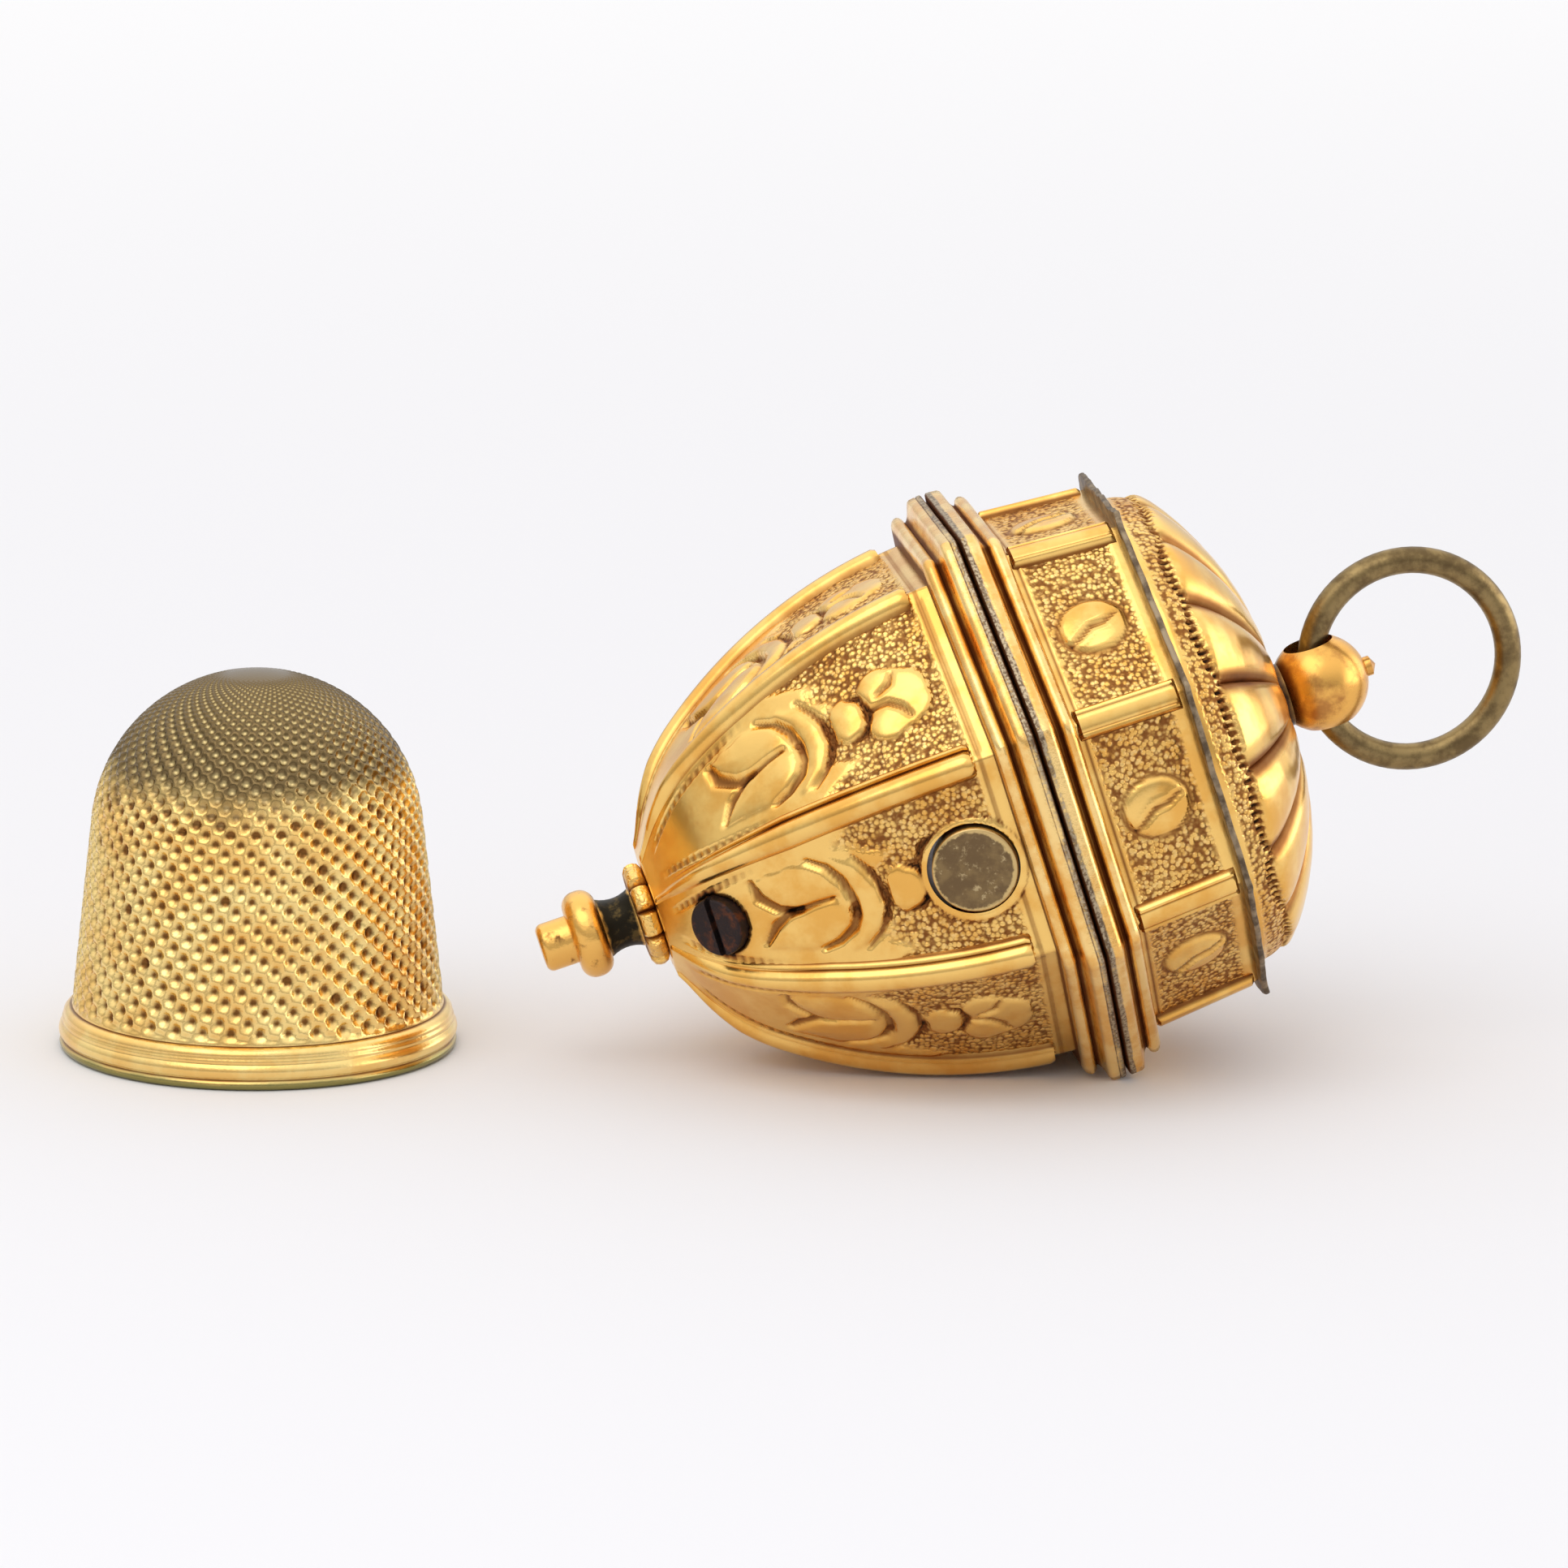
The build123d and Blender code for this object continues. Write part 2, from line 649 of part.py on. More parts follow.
def draw_dome(inset):
    """Half outline of the dome: an upright foot, a round shoulder and a low crown up to the knob."""
    foot = (dome_foot_radius - inset, plate_top)
    bulge = (dome_shoulder_radius - inset * dome_lean, dome_shoulder_level - inset * dome_lean)
    top = (dome_top_radius, dome_top_level - inset)
    Spline(foot, bulge, top, tangents=((0, 1), (-1, 0)))
    Polyline(top, (0, dome_top_level - inset), (0, plate_top), foot)


# Groove between two of the dome's lobes: it runs straight up the dome and rises out of it at both ends
with BuildLine(Plane.XY) as dome_outline:
    draw_dome(0)
dome_curve = dome_outline.edges().filter_by(GeomType.BSPLINE)[0]
groove_sunk = lobe_groove_radius - lobe_groove_depth
groove_stations = ((0.16, lobe_groove_radius), (0.26, groove_sunk), (0.45, groove_sunk),
                   (0.62, groove_sunk), (0.8, lobe_groove_radius))
groove_points = []
for share, lift in groove_stations:
    outward = Vector((dome_curve % share).Y, -(dome_curve % share).X, 0)
    spot = dome_curve @ share + outward * lift
    groove_points.append(case.from_local_coords((spot.X, 0, spot.Y)))
with BuildPart() as lobe_groove:
    with BuildLine() as groove_path:
        Spline(*groove_points)
    groove_line = groove_path.line
    with BuildSketch(Plane(origin=groove_line @ 0, z_dir=groove_line % 0)):
        Circle(lobe_groove_radius)
    sweep(path=groove_line)

# Dome: a spun and chased cap, soldered to the plate
with BuildPart() as lid_dome:
    with BuildSketch(side_plane(0)):
        with BuildLine():
            draw_dome(0)
        make_face()
    revolve(axis=case_axis)
    with BuildSketch(side_plane(0)):
        with BuildLine():
            draw_dome(dome_wall)
        make_face()
    revolve(axis=case_axis, mode=Mode.SUBTRACT)
    with BuildSketch(case.offset(dome_top_level)):
        Circle(knob_shank_radius + solder_gap)
    extrude(amount=2 * dome_wall, both=True, mode=Mode.SUBTRACT)
    for lobe in range(dome_lobes):
        add(lobe_groove.part.rotate(case_axis, lobe * 360 / dome_lobes), mode=Mode.SUBTRACT)
lid_dome.part.label = "lid_dome"
export_step(lid_dome.part, "parts/lid_dome.step")

# Ball knob: ball, nipple and neck turned in one piece, with a shank riveted inside the dome
ball_plane = Plane(origin=case.from_local_coords((0, 0, ball_level)), x_dir=case.y_dir, z_dir=case.x_dir)
dome_ceiling = dome_top_level - dome_wall
knob_washer_foot = dome_ceiling - knob_washer_height
knob_end = knob_washer_foot - knob_head_height
nipple_top = ball_level + ball_radius + nipple_height
with BuildPart() as ball_knob:
    with BuildSketch(side_plane(0)):
        with BuildLine():
            Polyline(
                (0, knob_end),
                (knob_head_radius, knob_end + knob_head_height / 2),
                (knob_head_radius, knob_washer_foot),
                (knob_shank_radius, knob_washer_foot),
                (knob_shank_radius, dome_top_level),
                (ball_neck_radius, dome_top_level),
                (ball_neck_radius, ball_level),
                (nipple_radius, ball_level),
                (nipple_radius, nipple_top - nipple_radius / 2),
                (0, nipple_top),
                (0, knob_end),
            )
        make_face()
        with BuildLine():
            CenterArc((0, ball_level), ball_radius, -90, 180)
            Line((0, ball_level - ball_radius), (0, ball_level + ball_radius))
        make_face()
    revolve(axis=case_axis)
    with BuildSketch(ball_plane):
        Circle(ball_hole_radius)
    extrude(amount=2 * ball_radius, both=True, mode=Mode.SUBTRACT)
ball_knob.part.label = "ball_knob"
export_step(ball_knob.part, "parts/ball_knob.step")

with BuildPart() as knob_washer:
    with BuildSketch(case.offset(knob_washer_foot)):
        Circle(knob_washer_radius)
        Circle(knob_shank_radius + solder_gap, mode=Mode.SUBTRACT)
    extrude(amount=knob_washer_height)
knob_washer.part.label = "knob_washer"
export_step(knob_washer.part, "parts/knob_washer.step")

# Strike: the small ledge inside the lid's front wall that the spring's nose snaps over
strike_flat = leaf_outer + nose_reach + strike_gap
with BuildPart() as lid_strike:
    with BuildSketch(front):
        with Locations(((strike_flat + wall_foot_flat) / 2, (strike_foot + strike_top) / 2)):
            Rectangle(wall_foot_flat - strike_flat, strike_top - strike_foot)
    extrude(amount=strike_width / 2, both=True)
    add(lid_wall_form, mode=Mode.INTERSECT)
    add(lid_wall_hollow, mode=Mode.INTERSECT)
lid_strike.part.label = "lid_strike"
export_step(lid_strike.part, "parts/lid_strike.step")

# Thimble outline, shared by the thimble and by the socket that holds it in the body
crown_centre = thimble_height - thimble_crown_radius
cone_run = crown_centre - thimble_band_height
cone_reach = math.hypot(thimble_wall_foot_radius, cone_run)
cone_turn = math.acos(thimble_crown_radius / cone_reach) - math.atan2(cone_run, thimble_wall_foot_radius)


def draw_thimble(grow, foot):
    """Closed half outline of the thimble's cone and crown down to a foot height, grown by a gap or a wall."""
    radius = thimble_crown_radius + grow
    crown = CenterArc((0, crown_centre), radius, math.degrees(cone_turn), 90 - math.degrees(cone_turn))
    foot_radius = (crown @ 0).X + ((crown @ 0).Y - foot) * math.tan(cone_turn)
    Polyline(crown @ 0, (foot_radius, foot), (0, foot), crown @ 1)


thimble_stand = Plane(
    origin=(seam_x + thimble_x_from_seam, seam_y + thimble_y_from_seam, 0), x_dir=(1, 0, 0), z_dir=(0, -1, 0)
)
thimble_axis = Axis(thimble_stand.origin, (0, 0, 1))
lip_flat = thimble_lip_radius - thimble_lip_height / 2
with BuildPart() as thimble:
    with BuildSketch(thimble_stand):
        with BuildLine():
            draw_thimble(0, thimble_lip_height / 2)
        make_face()
        with BuildLine():
            Polyline((0, 0), (lip_flat, 0))
            ThreePointArc(
                (lip_flat, 0), (thimble_lip_radius, thimble_lip_height / 2), (lip_flat, thimble_lip_height)
            )
            Line((lip_flat, thimble_lip_height), (thimble_wall_foot_radius, thimble_lip_height))
            ThreePointArc(
                (thimble_wall_foot_radius, thimble_lip_height),
                (thimble_band_radius, (thimble_lip_height + thimble_band_height) / 2),
                (thimble_wall_foot_radius, thimble_band_height),
            )
            Polyline((thimble_wall_foot_radius, thimble_band_height), (0, thimble_band_height), (0, 0))
        make_face()
    revolve(axis=thimble_axis)
    with BuildSketch(thimble_stand):
        with BuildLine():
            draw_thimble(-thimble_wall, 0)
        make_face()
    revolve(axis=thimble_axis, mode=Mode.SUBTRACT)
thimble.part.label = "thimble"
export_step(thimble.part, "parts/thimble.step")

# Body lining: velvet over card, a block that fills the mouth and a cup round the thimble's crown
thimble_seat = Plane(
    origin=case.from_local_coords((0, 0, thimble_seat_level)), x_dir=case.x_dir, z_dir=case.y_dir
)
lining_top = bezel_foot - lining_top_gap
cup_height = thimble_seat_level - lining_top
slot_flat = leaf_inner - button_rivet_length - button_room
slot_turn_level = button_level - button_rivet_radius - lining_gap
lining_form = eight_sided(lambda: draw_body(facet_ratio, shell_wall + lining_gap, lining_top, floor_level))
lining_span = straight_sided(rim_flat, lining_block_foot, rim_flat, lining_top)
with BuildPart() as body_lining:
    add(lining_form)
    add(lining_span, mode=Mode.INTERSECT)
    with BuildSketch(thimble_seat):
        with BuildLine():
            draw_thimble(socket_gap + socket_wall, cup_height)
        make_face()
    revolve(axis=case_axis)
    with BuildSketch(thimble_seat):
        with BuildLine():
            draw_thimble(socket_gap, 0)
        make_face()
    revolve(axis=case_axis, mode=Mode.SUBTRACT)
    with BuildSketch(front):
        with BuildLine():
            Polyline(
                (slot_flat, 0),
                (slot_flat, slot_turn_level),
                inner_start,
                (rim_flat, spring_bend_level),
                (rim_flat, 0),
                close=True,
            )
        make_face()
    extrude(amount=spring_slot_width / 2, both=True, mode=Mode.SUBTRACT)
body_lining.part.label = "body_lining"
export_step(body_lining.part, "parts/body_lining.step")

# Lid pad: a silk pad on a card disc, crowned towards the thimble and drawn in at its sides
pad_flat = wall_foot_flat - lid_wall_thickness - pad_gap - (wall_foot_flat - wall_top_flat)
pad_edge = (pad_foot + pad_crown + pad_top) / 2
pad_shoulder = (pad_flat - pad_side_draw, pad_foot + pad_crown)
pad_back = plate_hole_radius - pad_gap
pad_crown_radius = (pad_shoulder[0] ** 2 + pad_crown**2) / (2 * pad_crown)
with BuildPart() as lid_pad:
    with BuildSketch(side_plane(0)):
        with BuildLine():
            RadiusArc((0, pad_foot), pad_shoulder, radius=-pad_crown_radius)
            ThreePointArc(pad_shoulder, (pad_flat, pad_edge), (pad_back, pad_top))
            Polyline((pad_back, pad_top), (0, pad_top), (0, pad_foot))
        make_face()
    revolve(axis=case_axis)
lid_pad.part.label = "lid_pad"
export_step(lid_pad.part, "parts/lid_pad.step")

# Hanging ring: round brass wire, closed through the ball's cross hole
ring_centre = ball_plane.origin + Vector(math.cos(ring_turn), 0, math.sin(ring_turn)) * ring_offset
ring_plane = Plane(origin=ring_centre, x_dir=(1, 0, 0), z_dir=(0, -1, 0))
ring_section = Plane(origin=ring_centre, x_dir=(1, 0, 0), z_dir=(0, 0, 1))
with BuildPart() as ring:
    with BuildSketch(ring_section):
        with Locations((ring_radius, 0)):
            Circle(ring_wire_radius)
    revolve(axis=Axis(ring_plane.origin, ring_plane.z_dir))
ring.part.label = "ring"
export_step(ring.part, "parts/ring.step")
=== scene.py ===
import json
import math

import bmesh
import bpy
import numpy as np
from mathutils import Matrix, Vector, noise


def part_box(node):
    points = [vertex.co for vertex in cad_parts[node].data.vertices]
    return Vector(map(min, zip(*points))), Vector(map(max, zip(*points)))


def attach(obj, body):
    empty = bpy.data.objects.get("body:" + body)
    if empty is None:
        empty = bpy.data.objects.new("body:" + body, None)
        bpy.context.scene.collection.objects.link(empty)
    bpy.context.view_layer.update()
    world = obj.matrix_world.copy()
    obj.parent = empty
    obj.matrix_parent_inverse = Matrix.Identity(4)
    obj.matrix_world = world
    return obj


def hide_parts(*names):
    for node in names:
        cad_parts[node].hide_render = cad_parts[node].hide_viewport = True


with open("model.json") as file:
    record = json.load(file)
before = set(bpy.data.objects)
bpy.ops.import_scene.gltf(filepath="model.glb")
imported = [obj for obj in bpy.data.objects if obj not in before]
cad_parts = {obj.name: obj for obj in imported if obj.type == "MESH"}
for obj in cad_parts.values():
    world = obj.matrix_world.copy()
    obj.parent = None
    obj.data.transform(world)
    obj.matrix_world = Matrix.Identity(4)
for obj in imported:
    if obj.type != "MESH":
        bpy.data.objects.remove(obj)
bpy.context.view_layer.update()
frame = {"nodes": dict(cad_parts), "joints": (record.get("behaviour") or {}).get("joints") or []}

# Body panels: the acorn's eight sides, die-stamped in thin brass with a leaf, crescents, a bud and a
# flower on a punched ground, then gilt. They are one closed shell, 0.6 mm thick, cut round for the
# push button in the front panel. Everything on the case is drawn in millimetres in the case's frame:
# x up the picture, y to the front and z along the axis from the seam.
joints = {joint["name"]: joint for joint in frame["joints"]}
up = Vector(joints["lid_hinge"]["axis"])
along_axis = Vector((up.z, 0, -up.x))
ball_level = 14.05
seam_spot = Vector(joints["ring_swing"]["pos_m"]) - along_axis * ball_level / 1000
case_frame = Matrix.Translation(seam_spot) @ Matrix((up, (0, -1, 0), along_axis)).transposed().to_4x4()
case_frame = case_frame @ Matrix.Scale(0.001, 4)
sides = 8
corner_turn = math.pi / sides
facet = math.cos(corner_turn)


class Wire:
    """An output socket in a material, with arithmetic that adds the nodes for it."""

    def __init__(self, tree, socket=None):
        self.tree = tree
        self.socket = socket

    def make(self, kind, settings, inputs, output=0):
        node = self.tree.nodes.new("ShaderNode" + kind)
        for name, value in settings.items():
            setattr(node, name, value)
        for name, value in inputs.items():
            if isinstance(value, Wire):
                self.tree.links.new(value.socket, node.inputs[name])
            else:
                node.inputs[name].default_value = value
        return Wire(self.tree, node.outputs[output])

    def maths(self, operation, *others):
        return self.make("Math", {"operation": operation}, dict(enumerate((self, *others))))

    def __add__(self, other):
        return self.maths("ADD", other)

    def __sub__(self, other):
        return self.maths("SUBTRACT", other)

    def __mul__(self, other):
        return self.maths("MULTIPLY", other)

    def __rsub__(self, other):
        return self * -1.0 + other

    __radd__ = __add__
    __rmul__ = __mul__

    def ease(self, low, high):
        """0 below low, 1 above high and smooth between them."""
        limits = {"Value": self, "From Min": low, "From Max": high}
        return self.make("MapRange", {"interpolation_type": "SMOOTHSTEP"}, limits)

    def blend(self, first, second):
        """The first colour where this is 0, the second where it is 1."""
        ends = [(*end, 1.0) if isinstance(end, tuple) else end for end in (first, second)]
        return self.make("Mix", {"data_type": "RGBA"}, {0: self, 6: ends[0], 7: ends[1]}, 2)

    def cloud(self, size, detail=4.0, rough=0.55):
        """Noise with features of about this size in millimetres."""
        pattern = {"Vector": self, "Scale": 1000.0 / size, "Detail": detail, "Roughness": rough}
        return self.make("TexNoise", {}, pattern, "Fac")

    def cells(self, size):
        """Distance to the nearest of many scattered marks this many millimetres apart, in that unit."""
        pattern = {"Vector": self, "Scale": 1000.0 / size, "Randomness": 0.85}
        return self.make("TexVoronoi", {}, pattern, "Distance")

    def level(self):
        """Height along the case's axis in millimetres, of a place."""
        spot = self.make("VectorMath", {"operation": "SUBTRACT"}, {0: self, 1: seam_spot})
        return spot.make("VectorMath", {"operation": "DOT_PRODUCT"}, {0: spot, 1: along_axis * 1000}, "Value")


def metal(name, finish):
    """A metal material. finish takes the place on the surface, its hollow and its ground attribute, and
    returns colour, roughness, bump height in millimetres and metalness."""
    material = bpy.data.materials.new(name)
    material.use_nodes = True
    tree = material.node_tree
    tree.nodes.clear()
    start = Wire(tree)
    place = start.make("TexCoord", {}, {}, "Object")
    hollow = start.make("Attribute", {"attribute_name": "hollow"}, {}, "Fac")
    ground = start.make("Attribute", {"attribute_name": "ground"}, {}, "Fac")
    colour, roughness, bump, metallic = finish(place, hollow, ground)
    normal = start.make("Bump", {}, {"Height": bump, "Distance": 0.001, "Strength": 1.0})
    looks = {"Base Color": colour, "Roughness": roughness, "Metallic": metallic, "Normal": normal}
    shader = start.make("BsdfPrincipled", {}, looks)
    output = tree.nodes.new("ShaderNodeOutputMaterial")
    tree.links.new(shader.socket, output.inputs["Surface"])
    return material


def gilding(place, hollow, ground):
    """Fire gilding: rich yellow where it is rubbed, orange in patches, paler specks on the punched ground as
    painted glints, and red-brown and black in the hollows and punch marks as painted shade with some dirt.
    """
    patches = place.cloud(2.6, 5.0, 0.6)
    punches = place.cells(0.23).ease(0.30, 0.80)
    specks = place.cloud(0.26, 3.0, 0.6)
    rubbed = patches.ease(0.4, 0.62).blend((0.94, 0.60, 0.18), (0.84, 0.45, 0.10))
    # Paler specks on the punched ground: painted glints.
    rubbed = (ground * specks.ease(0.48, 0.62) * 0.7).blend(rubbed, (0.97, 0.66, 0.26))
    # Punch marks and hollows turn red-brown: painted shade with some dirt.
    pits = punches * ground * (0.30 + specks + patches * 0.6)
    darkening = (hollow + pits * 0.58 + (patches - 0.55) * 0.5 * hollow).ease(0.12, 1.0)
    colour = darkening.blend(rubbed, (0.27, 0.10, 0.026))
    # Near-black in the deepest hollows: painted shade.
    black = (hollow * (0.55 + patches)).ease(0.95, 1.35)
    colour = black.blend(colour, (0.03, 0.015, 0.009))
    bump = place.cloud(0.5, 3.0) * 0.006 - punches * ground * 0.055
    return colour, 0.22 + darkening * 0.3 + ground * 0.10, bump, 1.0


gilt = metal("gilt brass", gilding)


def bend_grid(mesh, columns, rows, shape):
    """Adds a grid of columns by rows, placed by shape, which takes each vertex's column and row number and
    returns places, hollows and grounds."""
    made = bmesh.ops.create_grid(mesh, x_segments=columns, y_segments=rows, size=1)["verts"]
    spots = np.array([vertex.co for vertex in made])
    column = np.rint((spots[:, 0] + 1) / 2 * columns).astype(int)
    row = np.rint((spots[:, 1] + 1) / 2 * rows).astype(int)
    places, hollow, ground = shape(column, row)
    hollow_layer = mesh.verts.layers.float["hollow"]
    ground_layer = mesh.verts.layers.float["ground"]
    for vertex, place, dark, rough in zip(made, places, hollow, ground):
        vertex.co = place
        vertex[hollow_layer] = dark
        vertex[ground_layer] = rough


def new_mesh():
    """An empty mesh with the two layers that the metals read: hollow, which carries painted shade with some
    dirt, and ground.
    """
    mesh = bmesh.new()
    mesh.verts.layers.float.new("hollow")
    mesh.verts.layers.float.new("ground")
    return mesh


def finish_piece(name, mesh, material, body, nodes=(), sharp=math.radians(40), place=case_frame):
    """Merges a mesh's seams, makes an object of it and ties it to its CAD body and nodes."""
    bmesh.ops.remove_doubles(mesh, verts=mesh.verts, dist=0.0005)
    bmesh.ops.dissolve_degenerate(mesh, edges=mesh.edges, dist=0.0001)
    bmesh.ops.recalc_face_normals(mesh, faces=mesh.faces)
    for face in mesh.faces:
        face.smooth = True
    for edge in mesh.edges:
        edge.smooth = edge.calc_face_angle(0.0) < sharp
    mesh.transform(place)
    data = bpy.data.meshes.new(name)
    mesh.to_mesh(data)
    mesh.free()
    data.materials.append(material)
    piece = bpy.data.objects.new(name, data)
    bpy.context.scene.collection.objects.link(piece)
    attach(piece, body)
    if nodes:
        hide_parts(*nodes)
    return piece


def turned(turn, radius, level):
    """Places at a turn about the axis (0 up, a quarter turn to the front), a distance from it and a level."""
    return np.column_stack([radius * np.cos(turn), radius * np.sin(turn), level])


def stroke(x, y, points):
    """Distance from the edge of a brush stroke, negative inside. points are (x, y, half width)."""
    nearest = np.full(x.shape, 1e9)
    for (x1, y1, r1), (x2, y2, r2) in zip(points, points[1:]):
        span = (x2 - x1) ** 2 + (y2 - y1) ** 2
        share = np.clip(((x - x1) * (x2 - x1) + (y - y1) * (y2 - y1)) / span, 0, 1)
        gap = np.hypot(x - x1 - share * (x2 - x1), y - y1 - share * (y2 - y1)) - r1 - share * (r2 - r1)
        nearest = np.minimum(nearest, gap)
    return nearest


def pillow(gap, height, edge):
    """A raised form: height in its middle, rounded off over the edge width inside its outline."""
    inside = np.clip(-gap / edge, 0, 1)
    return height * np.sqrt(1 - (1 - inside) ** 2)


def cut(gap, depth, soft):
    """An engraved groove: depth inside the stroke, fading over a soft width."""
    return depth * np.exp(-((np.maximum(gap, 0) / soft) ** 2))


def punched(x, y, pitch, dice):
    """Distance to the nearest of many punch marks, about a pitch apart, in a jittered lattice."""
    shift = dice.random((64, 64, 2)) * 0.75 - 0.375
    cell_x, cell_y = np.floor(x / pitch).astype(int), np.floor(y / pitch).astype(int)
    nearest = np.full(x.shape, 1e9)
    for step_x in (-1, 0, 1):
        for step_y in (-1, 0, 1):
            jitter = shift[(cell_x + step_x) % 64, (cell_y + step_y) % 64]
            mark_x = (cell_x + step_x + 0.5 + jitter[:, 0]) * pitch
            mark_y = (cell_y + step_y + 0.5 + jitter[:, 1]) * pitch
            nearest = np.minimum(nearest, np.hypot(x - mark_x, y - mark_y))
    return nearest


panel_flat = 11.2251
belly_level = -0.39976
tip_level = -17.555
belly_radius, nose_radius = 22.2 / facet, 8.5 / facet
corner_join_turn, corner_end_turn = math.radians(38), math.radians(62)
rim_foot_level = -1.85
join_turn = math.asin(math.sin(corner_join_turn) * facet)
end_turn = math.atan(math.tan(corner_end_turn) * facet)
start_turn = math.asin((belly_level - rim_foot_level) / belly_radius)
belly_run = belly_radius * (join_turn - start_turn)
nose_run = nose_radius * (end_turn - join_turn)
belly_spot = (panel_flat - belly_radius, belly_level)
nose_spot = (
    belly_spot[0] + (belly_radius - nose_radius) * math.cos(join_turn),
    belly_spot[1] - (belly_radius - nose_radius) * math.sin(join_turn),
)
nose_end = (nose_spot[0] + nose_radius * math.cos(end_turn), nose_spot[1] - nose_radius * math.sin(end_turn))
panel_length = belly_run + nose_run + (nose_end[1] - tip_level) / math.cos(end_turn)


def panel_curve(run):
    """Flat, level and slope of the panels at a length along them from the rim's foot to the tip."""
    slope = start_turn + np.minimum(run, belly_run) / belly_radius
    slope = slope + np.clip(run - belly_run, 0, nose_run) / nose_radius
    on_nose = run > belly_run
    radius = np.where(on_nose, nose_radius, belly_radius)
    flat = np.where(on_nose, nose_spot[0], belly_spot[0]) + radius * np.cos(slope)
    level = np.where(on_nose, nose_spot[1], belly_spot[1]) - radius * np.sin(slope)
    straight = np.maximum(run - belly_run - nose_run, 0)
    return flat - straight * math.sin(end_turn), level - straight * math.cos(end_turn), slope


button_run = 2.34
screw_run = 14.6
screw_pocket = 1.42
punch_pitch, punch_radius = 0.36, 0.13


